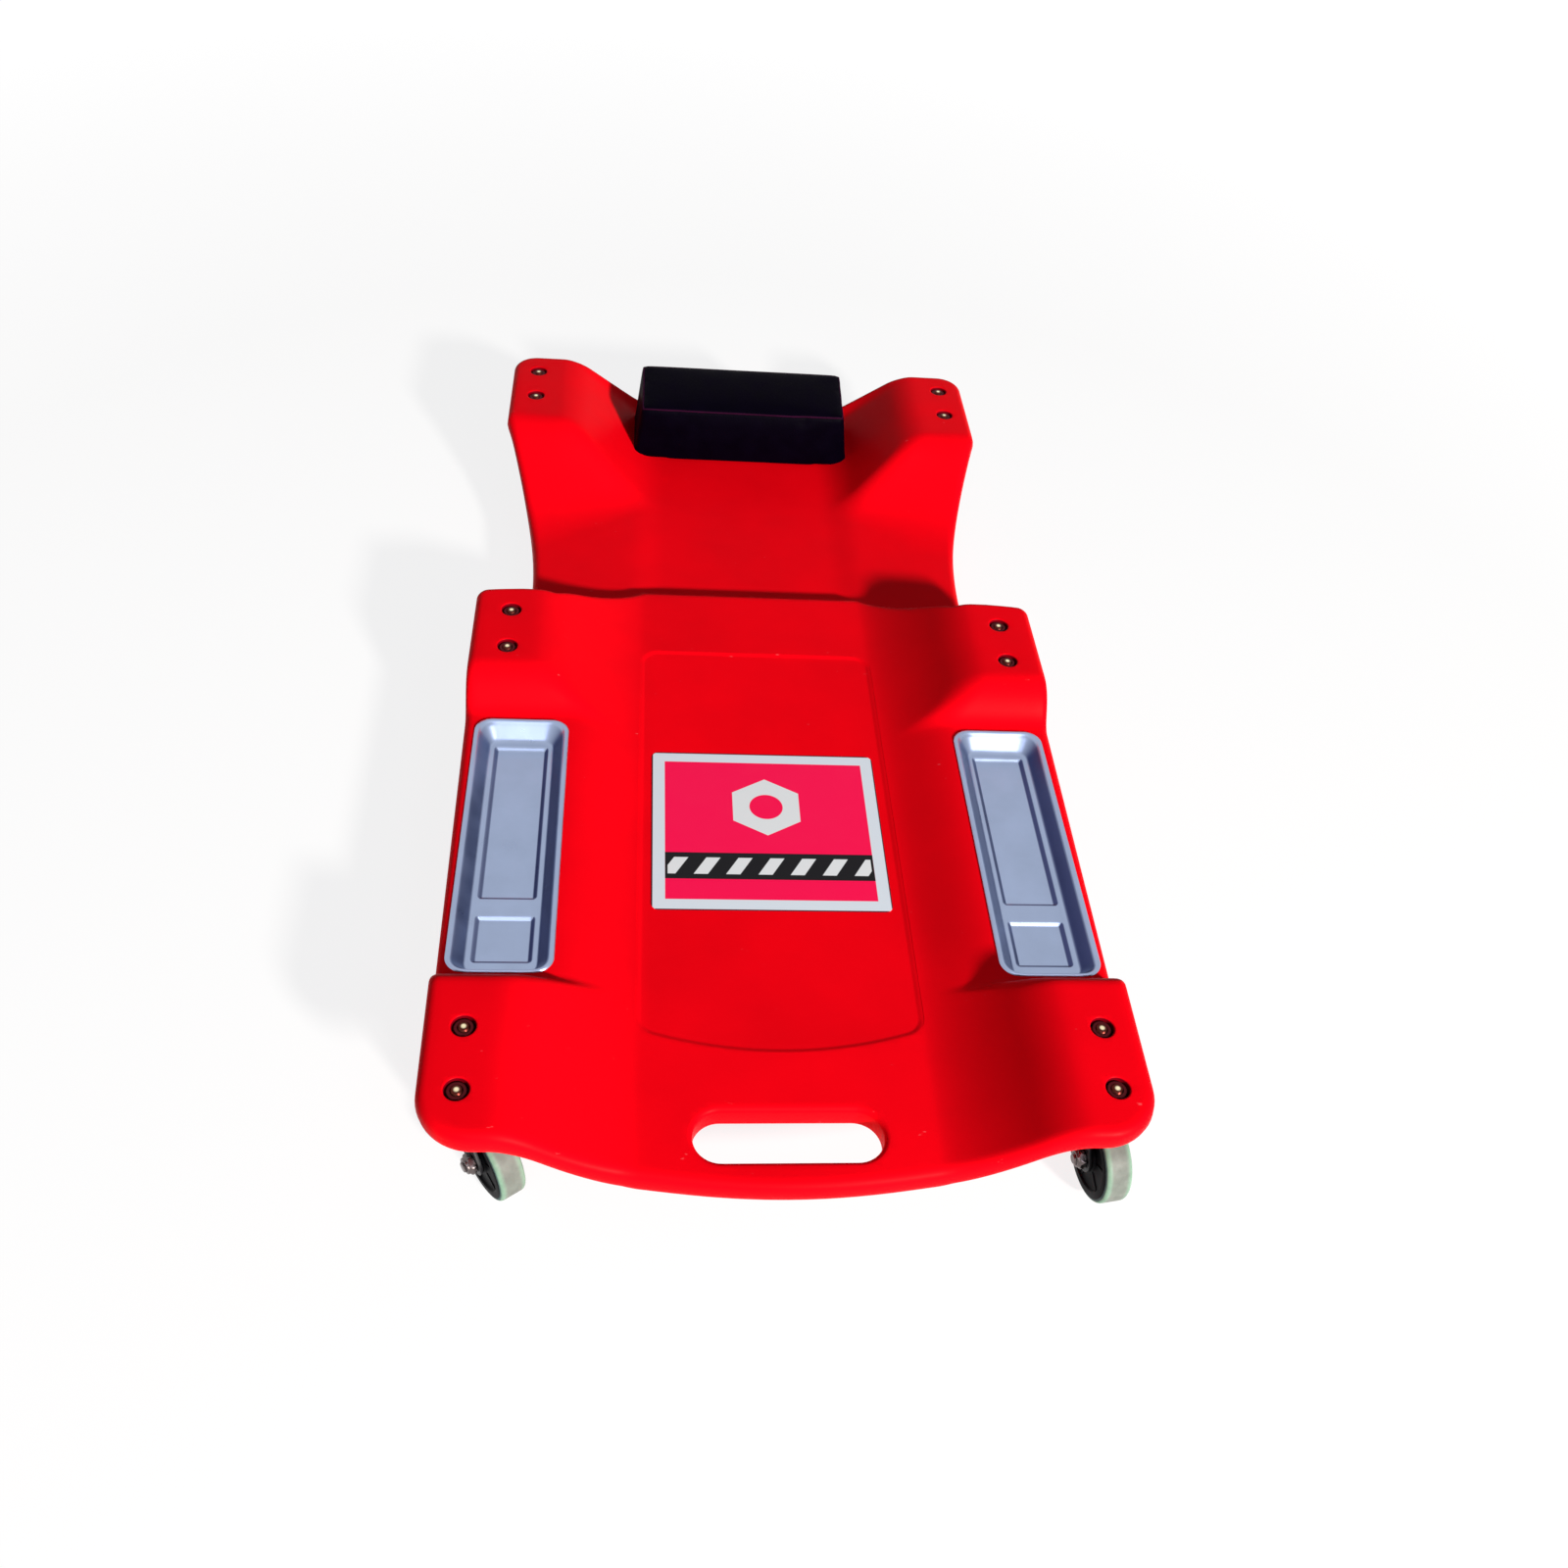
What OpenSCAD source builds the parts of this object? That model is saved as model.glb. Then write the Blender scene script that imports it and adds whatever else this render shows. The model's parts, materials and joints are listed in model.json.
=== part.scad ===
// Six-wheel mechanic creeper: a blow-moulded double-wall deck with two drop-in
// tool trays, a headrest pad and six swivel casters.
// X is across, +Y points to the head end, Z is up, and the wheels stand on Z = 0.

/* [Deck] */
// Length of the deck from the grip edge to the head edge
deck_len = 958; // [945:1:1010]
// Width of the deck over the foot pads and the head pads
deck_w = 480; // [470:1:500]
// How much further each side stands out at the shoulders than at the foot pads
shoulder_swell = 5.5; // [0:0.5:7]
// Thickness of the double-wall moulding over both walls
deck_t = 20; // [19:0.5:24]
// Thickness of each wall of the moulding
wall_t = 3; // [2.4:0.1:3.4]
// How far the flat bed lies below the raised pads
bed_drop = 45; // [38:1:48]
// How far the neck and head valley lie below the raised pads
neck_drop = 60; // [52:1:62]
// How far the tray ledges lie below the raised pads
ledge_drop = 27; // [24:0.5:30]
// Width of the raised pads, from the deck's side to the top of the flank
pad_strip_w = 62; // [59:1:66]
// Width of the flank between a raised pad and the flat bed
flank_w = 78; // [74:1:81]
// Width of the head pads, from the deck's side to the top of their inner slope
head_strip_w = 65; // [61:1:69]
// How far the neck is drawn in at each side at its narrowest
neck_in = 35.5; // [28:0.5:40]
// How far the grip edge bows out past the foot pads
front_bow = 10; // [6:1:14]
// Radius of the rounded top and bottom edges
edge_r = 7; // [4:0.5:8]
// Corner radius of the foot pads in plan
foot_corner_r = 38; // [30:1:42]
// Corner radius of the shoulders in plan
shoulder_corner_r = 12; // [8:1:16]
// Fillet radius between shoulder and neck
neck_fillet_r = 14; // [10:1:18]
// Corner radius of the head pads in plan
ear_corner_r = 24; // [18:1:30]

/* [Deck layout] */
// Distance from the grip edge to the back edge of the foot pads
foot_pad_end = 133; // [128:1:138]
// Distance from the head edge to the back edge of the shoulders
shoulder_back = 401; // [396:1:404]
// Length of the flat shoulder pads
shoulder_pad_len = 110; // [104:1:114]
// Length of the flat head pads
ear_len = 129; // [124:1:136]
// Length of the slope from a shoulder pad down to the tray ledge
shoulder_slope_len = 22; // [18:1:26]
// Length of the slope from a foot pad down to the tray ledge
foot_slope_len = 12; // [10:1:14]
// Length of the slope behind the shoulders
neck_slope_len = 38; // [30:1:44]
// How far the bed runs on behind the shoulders at the middle
bed_run_on = 57; // [48:1:62]

/* [Grip slot] */
// Distance from each end of the grip slot to the side of the flat bed
slot_inset = 36; // [30:1:42]
// Width of the grip slot
slot_w = 38; // [32:1:40]
// Thickness of the bar in front of the slot
grip_bar = 20; // [18:1:24]

/* [Centre panel and label] */
// Distance from each side of the sunk centre panel to the side of the flat bed
panel_side = 2; // [1:0.5:6]
// Distance from the panel's head edge to the shoulders' back edge
panel_stop = 31; // [27:1:52]
// How far the panel's foot end bows out
panel_sag = 17; // [8:1:20]
// How deep the panel is sunk
panel_sink = 1.2; // [0.8:0.1:2]
// Distance from the grip edge to the panel's foot corners
panel_start = 125; // [122:1:134]
// Distance from each side of the label to the side of the panel
label_side = 6; // [5:0.5:23]
// Length of the label as a share of the panel's length
label_len_share = 0.4214; // [0.35:0.01:0.45]
// Thickness of the label
label_t = 0.4; // [0.3:0.1:0.8]
// Distance from the panel's foot corners to the label's middle as a share of the panel's length
label_place_share = 0.4763; // [0.43:0.01:0.54]

/* [Tool trays] */
// Distance from the foot pad's slope to the tray's rim
tray_foot_gap = 12; // [9:0.5:20]
// Width of a tray over its rim
tray_w = 76; // [70:1:77]
// Depth of a tray
tray_depth = 12; // [9:0.5:13]
// Thickness of the tray sheet
tray_t = 1; // [0.8:0.1:1.4]
// Distance from the deck's side to the tray's rim
tray_margin = 4; // [3:0.5:6]
// Distance from the shoulder's slope to the tray's rim
tray_inset = 9; // [7:0.5:12]
// Depth of the two wells in a tray's floor
well_depth = 2; // [1:0.5:2.5]

/* [Headrest] */
// Distance from each end of the headrest pad low down to the inner slope of the head pad
pad_end_gap = 60; // [58:1:75]
// Depth of the headrest pad along the deck
pad_depth = 71; // [60:1:72]
// Height of the headrest pad above the valley
pad_h = 65; // [54:1:72]
// Distance from the head edge to the pad's back
pad_back = 22; // [21:1:26]
// Thickness of the board inside the pad
board_t = 8; // [6:0.5:10]
// Distance from each end of the board to the end of the pad
board_end_gap = 45; // [42:1:55]
// Width of the board inside the pad
board_w = 48; // [40:1:52]

/* [Casters] */
// Height of a caster from the floor to the top of its plate
caster_h = 85; // [83:0.5:92]
// Wheel diameter over the tread
wheel_d = 63.5; // [60:0.5:64]
// Width of the tread
tread_w = 17; // [15:0.5:18]
// Width of the wheel hub
hub_w = 20; // [19:0.5:22]
// How far the axle trails behind the swivel axis
trail = 31; // [26:0.5:32]
// Distance from the deck's side to the swivel axes
axis_inset = 26; // [24:0.5:28]
// Distance between the two bolts of a caster plate
bolt_gap = 48; // [46:0.5:54]
// Distance from the grip edge to the foot swivel axes
foot_axis = 70; // [66:1:76]
// Distance from the head edge to the head swivel axes
head_axis = 56; // [52:1:60]
// Diameter of the bolts, both of the plates and of the axles
bolt_d = 8; // [6:0.5:8]

/* [Hidden] */

// Number of sides on true round shapes
$fn = 48;
// Number of sides on the rounded shapes that a hull joins
hull_sides = 32;
// Overrun of every cut past the face that it opens
cut = 1;
// Gap of a part that turns in or on another
running_gap = 0.05;
// Gap of a bolt in its hole, on the radius
bolt_gap_r = 0.3;
// Gap of a loose piece that is seated in a pocket
seat_gap = 0.3;

// Widths and lengths that follow the deck
dish_w = deck_w - 2 * pad_strip_w;
bed_w = dish_w - 2 * flank_w;
head_dish_w = deck_w - 2 * head_strip_w;
neck_w = deck_w - 2 * neck_in;
slot_len = bed_w - 2 * slot_inset;
panel_w = bed_w - 2 * panel_side;
label_w = panel_w - 2 * label_side;
pad_w = head_dish_w - 2 * pad_end_gap;
board_len = pad_w - 2 * board_end_gap;
track = deck_w - 2 * axis_inset;
// The shoulder casters stand under the middle of their pads
shoulder_axis = shoulder_pad_len / 2;

// Heights
pad_top = caster_h + deck_t;
bed_top = pad_top - bed_drop;
valley_top = pad_top - neck_drop;
ledge_top = pad_top - ledge_drop;

// Stations along the deck
y_grip = -deck_len / 2;
y_head = deck_len / 2;
y_foot = y_grip + front_bow;
y_foot_end = y_grip + foot_pad_end;
y_shoulder = y_head - shoulder_back;
y_shoulder_front = y_shoulder - shoulder_pad_len;
y_ear = y_head - ear_len;
y_ear_side = y_ear + edge_r;
y_ledge_foot = y_foot_end + foot_slope_len;
y_ledge_shoulder = y_shoulder_front - shoulder_slope_len;
y_slot = y_grip + grip_bar + slot_w / 2;
y_panel = y_grip + panel_start;
panel_len = y_shoulder - panel_stop - y_panel;
label_len = panel_len * label_len_share;
y_label = y_panel + panel_len * label_place_share;
tray_len = y_ledge_shoulder - y_ledge_foot - tray_inset - tray_foot_gap;
y_tray = y_ledge_shoulder - tray_inset - tray_len / 2;
y_pad_back = y_head - pad_back;
y_pad = y_pad_back - pad_depth / 2;

// Slant of the shoulders' back edge
shoulder_slant = 10;
// The neck keeps its narrowest width over this length
neck_straight = 70;
// Width of the blend where two deck surfaces meet at a convex edge
blend_crest = 7;
// Width of the blend where two deck surfaces meet in a hollow
blend_hollow = 14;
// Length of the front slope of a head pad, at its inner and its outer side
ear_slope_in = 54;
ear_slope_out = 132;
// Height that the head valley gains at its free edge, and over what length
curl_h = 10;
curl_len = 22;
// Length over which the bow of the grip edge fades out
bow_fade = 70;
// The grip edge bows out a little wider than the flat bed
bow_over = 10;
bow_half = bed_w / 2 + bow_over;
// More than 1 eases the bow's ends into the pads' front edge
bow_power = 1.2;
// Rise of a flank: 1 is a straight slope, and more starts it flatter
flank_power = 1.5;
// Rise over run of a head pad's inner slope
ear_inner_slope = 0.8;

function clamp01(t) = max(0, min(1, t));
// The smaller and the larger of two heights, blended over a width k
function soft_min(a, b, k) =
    let (h = max(k - abs(a - b), 0))
    min(a, b) - h * h / (4 * k);
function soft_max(a, b, k) = -soft_min(-a, -b, k);

// Corner points of the shoulder: end of the outer arc, and centre of the neck fillet
shoulder_half = deck_w / 2 + shoulder_swell;
shoulder_arc_x = shoulder_half - shoulder_corner_r * (1 - sin(shoulder_slant));
shoulder_arc_y = y_shoulder - shoulder_corner_r * (1 - cos(shoulder_slant));
fillet_x = neck_w / 2 + neck_fillet_r;
fillet_start_x = fillet_x - neck_fillet_r * sin(shoulder_slant);
fillet_start_y = shoulder_arc_y + (shoulder_arc_x - fillet_start_x) * tan(shoulder_slant);
fillet_y = fillet_start_y + neck_fillet_r * cos(shoulder_slant);
y_neck_end = y_shoulder + neck_straight;

// Half the deck's width at a station
function half_width(y) =
    y < y_foot + foot_corner_r ? round_end(y_foot + foot_corner_r - y, foot_corner_r, deck_w / 2)
    : y < y_shoulder - shoulder_corner_r ? body_half(y)
    : y < shoulder_arc_y ? round_end(y - y_shoulder + shoulder_corner_r, shoulder_corner_r, shoulder_half)
    : y < fillet_start_y ? shoulder_arc_x - (y - shoulder_arc_y) / tan(shoulder_slant)
    : y < fillet_y ? fillet_x - sqrt(max(0, pow(neck_fillet_r, 2) - pow(fillet_y - y, 2)))
    : y < y_neck_end ? neck_w / 2
    : y < y_ear_side ? neck_w / 2 + (deck_w - neck_w) / 2 * pow((y - y_neck_end) / (y_ear_side - y_neck_end), 2)
    : y < y_head - ear_corner_r ? deck_w / 2
    : round_end(y - y_head + ear_corner_r, ear_corner_r, deck_w / 2);
function round_end(past, r, half) = half - r + sqrt(max(0, r * r - past * past));
function body_half(y) =
    deck_w / 2 + shoulder_swell * clamp01((y - y_foot - foot_corner_r) / (y_shoulder_front - y_foot - foot_corner_r));

// How far the grip edge bows out at x, for a row at station v
function bow(x, v) =
    front_bow * pow(1 - pow(min(1, abs(x) / bow_half), 2), bow_power) * clamp01((y_foot + bow_fade - v) / bow_fade);

// Height of the moulding's upper side, before its edges are rounded
function bed_z(x, y) =
    let (flank = -bed_drop + bed_drop * pow(max(0, abs(x) - bed_w / 2) / (dish_w / 2 - bed_w / 2), flank_power),
        shoulder_slope = -ledge_drop * (y_shoulder_front - y) / shoulder_slope_len,
        foot_slope = -ledge_drop * (y - y_foot_end) / foot_slope_len,
        ledge = soft_max(-ledge_drop, max(shoulder_slope, foot_slope), blend_crest),
        side = soft_min(0, ledge, blend_crest))
    soft_min(flank, side, blend_crest);
function head_z(x, y) =
    let (inner = ear_inner_slope * (abs(x) - head_dish_w / 2),
        slope_len = ear_slope_in + (ear_slope_out - ear_slope_in)
            * clamp01((abs(x) - bed_w / 2) / (deck_w / 2 - bed_w / 2)),
        t = (y_ear - y) / slope_len,
        front = t < 0 ? -neck_drop * t * flank_power
            : -neck_drop * (1 - pow(max(0, 1 - t), flank_power)),
        pad = soft_min(inner, soft_min(front, 0, blend_crest), blend_crest),
        curl_share = clamp01((head_dish_w / 2 - abs(x)) / (head_dish_w / 2 - bed_w / 2)),
        curl = curl_h * curl_share * pow(max(0, y - y_head + curl_len) / curl_len, 2))
    soft_max(-neck_drop, pad, blend_hollow) + curl;
function neck_edge(x) = y_shoulder + bed_run_on * clamp01((dish_w / 2 - abs(x)) / (dish_w / 2 - bed_w / 2));
function deck_z(x, y) =
    let (fall = -neck_drop * (y - neck_edge(x)) / neck_slope_len,
        body = bed_z(x, y) + soft_min(0, fall, blend_crest))
    pad_top + soft_max(body, head_z(x, y), blend_hollow);

// Rows across the deck: closely spaced where the surface turns
round_shares = [0, 0.13, 0.5, 1];
corner_shares = [0.4, 0.68, 1];
slope_shares = [-0.35, 0, 0.35, 0.7, 1, 1.35];
neck_row_shares = [0.14, 0.32, 0.5, 0.68, 0.86, 1.08, 1.36];
ear_row_shares = [0.1, 0.28, 0.46, 0.62, 0.76, 0.88, 0.99, 1.1];
rows = concat(
    [for (s = round_shares) y_foot + edge_r * s],
    [for (s = corner_shares) y_foot + foot_corner_r * s],
    [y_foot + bow_fade, (y_foot + bow_fade + y_foot_end) / 2],
    [for (s = slope_shares) y_foot_end + foot_slope_len * s],
    [for (s = [0.2, 0.5, 0.8]) y_ledge_foot + (y_ledge_shoulder - y_ledge_foot) * s],
    [for (i = [len(slope_shares) - 1:-1:0]) y_shoulder_front - shoulder_slope_len * slope_shares[i]],
    [y_shoulder_front + shoulder_pad_len / 2],
    [y_shoulder - shoulder_corner_r],
    [for (s = [0.5, 0.87]) y_shoulder - edge_r * (1 - s)],
    [shoulder_arc_y, (shoulder_arc_y + fillet_start_y) / 2, fillet_start_y],
    [for (s = [0.25, 0.55]) fillet_start_y + (fillet_y - fillet_start_y) * s],
    [fillet_y],
    [for (s = neck_row_shares) fillet_y + (bed_run_on + neck_slope_len - shoulder_corner_r) * s],
    [for (s = ear_row_shares) y_ear - ear_slope_out * (1 - s)],
    [(y_ear + y_head) / 2],
    [for (i = [len(corner_shares) - 1:-1:0]) y_head - ear_corner_r * corner_shares[i]],
    [for (i = [len(round_shares) - 1:-1:0]) y_head - edge_r * round_shares[i]]);

// Columns along the deck, from the middle out: some at set places, the rest near the edge
bed_column_shares = [0, 0.28, 0.54, 0.76, 0.89];
column_shares = [0, 0.23, 0.46, 0.64, 0.8, 0.92, 1.02, 1.14];
set_columns = concat([for (s = bed_column_shares) bed_w / 2 * s],
    [for (s = column_shares) bed_w / 2 + s * (dish_w - bed_w) / 2]);
last_set = set_columns[len(set_columns) - 1];
function half_columns(w) = concat(set_columns, [(last_set + w - edge_r) / 2],
    [for (i = [3:-1:0]) w - edge_r * round_shares[i]]);
function half_hollow_columns(w) =
    concat([for (i = [0:len(set_columns) - 1]) if (i == 0 || i > 2) set_columns[i]], [w]);
function both_sides(half) = concat([for (i = [len(half) - 1:-1:1]) -half[i]], half);

// The hollow inside: its rows, and half its width at a station
hollow_inset = 0.75 * edge_r;
hollow_rows = concat(
    [for (v = rows) if (v >= y_foot + edge_r && v < y_shoulder - edge_r) v],
    [y_shoulder - edge_r, y_shoulder - edge_r / 2],
    [for (v = rows) if (v > y_shoulder && v <= y_head - edge_r) v]);
function hollow_half_width(y) =
    (y <= y_shoulder - edge_r ? half_width(y) : min(half_width(y), max(neck_w / 2, half_width(max(y, fillet_y)))))
    - hollow_inset;

// Distance from a point to the deck's outline, along the polyline of the rows' ends
function segment_distance(p, a, b) =
    let (ab = b - a, t = clamp01((p - a) * ab / (ab * ab)))
    norm(p - a - ab * t);
function outline_distance(p, outline) =
    min([for (i = [0:len(outline) - 2]) segment_distance(p, outline[i], outline[i + 1])]);
function edge_fall(d) = d >= edge_r ? 0 : edge_r - sqrt(max(0, edge_r * edge_r - pow(edge_r - d, 2)));

// A closed skin over rows of points: the top side, and the bottom side below it
module closed_skin(top, bottom) {
    ny = len(top);
    nx = len(top[0]);
    n = nx * ny;
    middle = (nx - 1) / 2;
    upper = [for (j = [0:ny - 2]) for (i = [0:nx - 2])
        let (a = j * nx + i, b = a + 1, c = b + nx, d = a + nx)
        each (i < middle ? [[a, d, c], [a, c, b]] : [[a, d, b], [b, d, c]])];
    lower = [for (f = upper) [f[2] + n, f[1] + n, f[0] + n]];
    rim = concat([for (i = [0:nx - 1]) i],
        [for (j = [1:ny - 1]) j * nx + nx - 1],
        [for (i = [nx - 2:-1:0]) (ny - 1) * nx + i],
        [for (j = [ny - 2:-1:1]) j * nx]);
    m = len(rim);
    walls = [for (k = [0:m - 1])
        let (a = rim[k], b = rim[(k + 1) % m])
        each [[a, b, b + n], [a, b + n, a + n]]];
    polyhedron(points = concat([for (row = top) each row], [for (row = bottom) each row]),
        faces = concat(upper, lower, walls));
}
module deck_blank() {
    plan = [for (v = rows) [for (x = both_sides(half_columns(half_width(v)))) [x, v - bow(x, v)]]];
    ny = len(plan);
    nx = len(plan[0]);
    outline = concat([for (i = [(nx - 1) / 2:nx - 1]) plan[0][i]],
        [for (j = [1:ny - 1]) plan[j][nx - 1]],
        [for (i = [nx - 2:-1:(nx - 1) / 2]) plan[ny - 1][i]]);
    falls = [for (row = plan) [for (p = row)
        edge_fall(outline_distance([abs(p.x), p.y], outline))]];
    heights = [for (row = plan) [for (p = row) deck_z(p.x, p.y)]];
    closed_skin(
        [for (j = [0:ny - 1]) [for (i = [0:nx - 1])
            [plan[j][i].x, plan[j][i].y, heights[j][i] - falls[j][i]]]],
        [for (j = [0:ny - 1]) [for (i = [0:nx - 1])
            [plan[j][i].x, plan[j][i].y, heights[j][i] - deck_t + falls[j][i]]]]);
}
module hollow_blank() {
    plan = [for (v = hollow_rows)
        [for (x = both_sides(half_hollow_columns(hollow_half_width(v)))) [x, v - bow(x, v)]]];
    closed_skin(
        [for (row = plan) [for (p = row) [p.x, p.y, deck_z(p.x, p.y) - wall_t]]],
        [for (row = plan) [for (p = row) [p.x, p.y, deck_z(p.x, p.y) - deck_t + wall_t]]]);
}

// Fasteners
washer_t = 1.6;
washer_d = 2 * bolt_d;
nut_af = 1.625 * bolt_d;
nut_h = 0.8 * bolt_d;
head_h = 0.66 * bolt_d;
thread_over = 1.5;
cup_gap = 1;
cup_d = washer_d + 2 * cup_gap;
bolt_below = 0.6;
cup_depth = washer_t + nut_h + thread_over + bolt_below;
cup_floor = pad_top - cup_depth;

// Caster dimensions
plate_t = 2.5;
plate_len = bolt_gap + 3 * bolt_d;
plate_w = 44;
race_r = 12;
race_wall = 3.5;
ball_r = 2.4;
ball_count = 12;
ball_gap = 0.1;
pin_r = 5;
pin_head_r = 7;
pin_head_t = 2;
pin_tail_r = 8;
crown_t = 3.5;
crown_gap = 0.4;
fork_t = 2.2;
leg_boss_r = 10;
leg_top_half = 13;
leg_crown_overlap = 1;
race_h = 3.3;
z_plate = caster_h - plate_t;
z_race = z_plate - race_h;
z_crown = z_race - crown_gap;
z_ball = (z_race + z_crown) / 2;
z_crown_low = z_crown - crown_t;
z_axle = wheel_d / 2;
sleeve_wall = 1.5;
sleeve_r = bolt_d / 2 + sleeve_wall;
sleeve_over = 0.6;
fork_gap = hub_w + 2 * sleeve_over;
fork_w = fork_gap + 2 * fork_t;

// Each caster: the side it is on, its station, and how it was left turned
y_foot_axis = y_grip + foot_axis;
y_mid_axis = y_shoulder - shoulder_axis;
y_head_axis = y_head - head_axis;
foot_left_at = [-track / 2, y_foot_axis, 34];
foot_right_at = [track / 2, y_foot_axis, 9];
mid_left_at = [-track / 2, y_mid_axis, 16];
mid_right_at = [track / 2, y_mid_axis, -21];
head_left_at = [-track / 2, y_head_axis, 13];
head_right_at = [track / 2, y_head_axis, -17];
casters = [foot_left_at, foot_right_at, mid_left_at, mid_right_at, head_left_at, head_right_at];

module at_plate(c) {
    translate([c[0], c[1], 0]) children();
}
module at_fork(c) {
    translate([c[0], c[1], 0]) rotate(c[2]) children();
}
module at_axle(c) {
    at_fork(c) translate([0, -trail, z_axle]) rotate([0, 90, 0]) children();
}
module at_plate_bolts() {
    for (c = casters, s = [-1, 1])
        translate([c[0], c[1] + s * bolt_gap / 2, 0]) children();
}

// A rectangle with round corners, centred
module rounded_plate(x, y, r, h) {
    linear_extrude(h) union() {
        square([x - 2 * r, y], center = true);
        square([x, y - 2 * r], center = true);
        for (sx = [-1, 1], sy = [-1, 1])
            translate([sx * (x / 2 - r), sy * (y / 2 - r)]) circle(r);
    }
}

// Deck
tray_x = deck_w / 2 - tray_margin - tray_w / 2;
tray_rim = 4;
tray_corner_r = 14;
pocket_gap = 0.5;
pocket_depth = tray_depth + well_depth + tray_t + pocket_gap;
screw_d = 6;
screw_head_h = 4;
screw_place_share = 0.32;
screw_x = board_len * screw_place_share;
panel_corner_r = 12;

// Each cut is made once at its own size, and once more, grown by a wall, round the hollow
module slot_cut(grow = 0) {
    translate([0, y_slot, bed_top - deck_t - cut]) linear_extrude(deck_t + 2 * cut) union() {
        square([slot_len - slot_w, slot_w + 2 * grow], center = true);
        for (s = [-1, 1]) translate([s * (slot_len - slot_w) / 2, 0]) circle(slot_w / 2 + grow);
    }
}
module panel_cut() {
    // The foot end is the arc through the two corners that sags by panel_sag
    sag_r = (pow(panel_w / 2, 2) + pow(panel_sag, 2)) / (2 * panel_sag);
    translate([0, y_panel, bed_top - panel_sink]) linear_extrude(panel_sink + cut) union() {
        translate([0, panel_len / 2]) union() {
            square([panel_w - 2 * panel_corner_r, panel_len], center = true);
            translate([0, -panel_corner_r / 2]) square([panel_w, panel_len - panel_corner_r], center = true);
            for (s = [-1, 1])
                translate([s * (panel_w / 2 - panel_corner_r), panel_len / 2 - panel_corner_r])
                    circle(panel_corner_r);
        }
        intersection() {
            translate([0, sag_r - panel_sag]) circle(sag_r, $fn = 96);
            translate([-panel_w / 2, -panel_sag]) square([panel_w, panel_sag + cut]);
        }
    }
}
module tray_pocket(side, grow = 0, deeper = 0) {
    translate([side * tray_x, y_tray, ledge_top - pocket_depth - deeper])
        rounded_plate(tray_w - 2 * tray_rim + 2 * (pocket_gap + grow),
            tray_len - 2 * tray_rim + 2 * (pocket_gap + grow),
            tray_corner_r - tray_rim + grow, pocket_depth + deeper + neck_drop);
}
module screw_holes(grow = 0) {
    for (s = [-1, 1]) translate([s * screw_x, y_pad, valley_top - deck_t - cut])
        cylinder(r = screw_d / 2 + bolt_gap_r + grow, h = deck_t + 2 * cut);
}
// Inside, the two walls meet round each bolt, round each screw and under each tray
module hollow() {
    difference() {
        hollow_blank();
        slot_cut(wall_t);
        for (side = [-1, 1]) tray_pocket(side, wall_t, deck_t);
        at_plate_bolts() translate([0, 0, caster_h]) cylinder(r = cup_d / 2 + wall_t, h = deck_t);
        screw_holes(wall_t);
    }
}
module deck() {
    color("#e8101a") difference() {
        deck_blank();
        hollow();
        slot_cut();
        panel_cut();
        for (side = [-1, 1]) tray_pocket(side);
        at_plate_bolts() {
            translate([0, 0, cup_floor]) cylinder(d = cup_d, h = cup_depth + cut);
            translate([0, 0, caster_h - cut]) cylinder(r = bolt_d / 2 + bolt_gap_r, h = deck_t);
        }
        screw_holes();
    }
}

// Tool trays
tray_wall_side = 9;
tray_wall_end = 16;
long_well_share = 0.73;
short_well_share = 0.19;
well_margin = 3.5;
well_rib_share = 0.064;
well_slope = 2;
module tapered_block(x, y, r, z, slope_x, slope_y, h) {
    hull() {
        translate([0, 0, z - tray_t / 4])
            linear_extrude(tray_t / 4) offset(r, $fn = hull_sides) square([x - 2 * r, y - 2 * r], center = true);
        translate([0, 0, z - h])
            linear_extrude(tray_t / 4) offset(r / 2, $fn = hull_sides)
                square([x - 2 * slope_x - r, y - 2 * slope_y - r], center = true);
    }
}
module tray(side) {
    floor_x = tray_w - 2 * tray_rim - 2 * tray_wall_side;
    floor_y = tray_len - 2 * tray_rim - 2 * tray_wall_end;
    well_x = floor_x - 2 * well_margin;
    long_y = floor_y * long_well_share;
    short_y = floor_y * short_well_share;
    wells_y = long_y + short_y + floor_y * well_rib_share;
    well_r = 3;
    z_floor = -tray_depth;
    color("#a9b4cf") translate([side * tray_x, y_tray, ledge_top]) difference() {
        union() {
            rounded_plate(tray_w, tray_len, tray_corner_r, tray_t);
            tapered_block(tray_w - 2 * tray_rim, tray_len - 2 * tray_rim, tray_corner_r - tray_rim,
                tray_t / 4, tray_wall_side, tray_wall_end, tray_depth + tray_t);
            translate([0, wells_y / 2 - long_y / 2, 0])
                tapered_block(well_x, long_y, well_r, z_floor - tray_t / 2, well_slope, well_slope,
                    well_depth + tray_t / 2);
            translate([0, -wells_y / 2 + short_y / 2, 0])
                tapered_block(well_x, short_y, well_r, z_floor - tray_t / 2, well_slope, well_slope,
                    well_depth + tray_t / 2);
        }
        tapered_block(tray_w - 2 * tray_rim - 2 * tray_t, tray_len - 2 * tray_rim - 2 * tray_t,
            tray_corner_r - tray_rim, tray_t + cut, tray_wall_side, tray_wall_end, tray_depth + tray_t + cut);
        translate([0, wells_y / 2 - long_y / 2, 0])
            tapered_block(well_x - 2 * tray_t, long_y - 2 * tray_t, well_r, z_floor + tray_t / 2,
                well_slope, well_slope, well_depth + tray_t / 2);
        translate([0, -wells_y / 2 + short_y / 2, 0])
            tapered_block(well_x - 2 * tray_t, short_y - 2 * tray_t, well_r, z_floor + tray_t / 2,
                well_slope, well_slope, well_depth + tray_t / 2);
    }
}
module left_tool_tray() { tray(-1); }
module right_tool_tray() { tray(1); }

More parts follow.
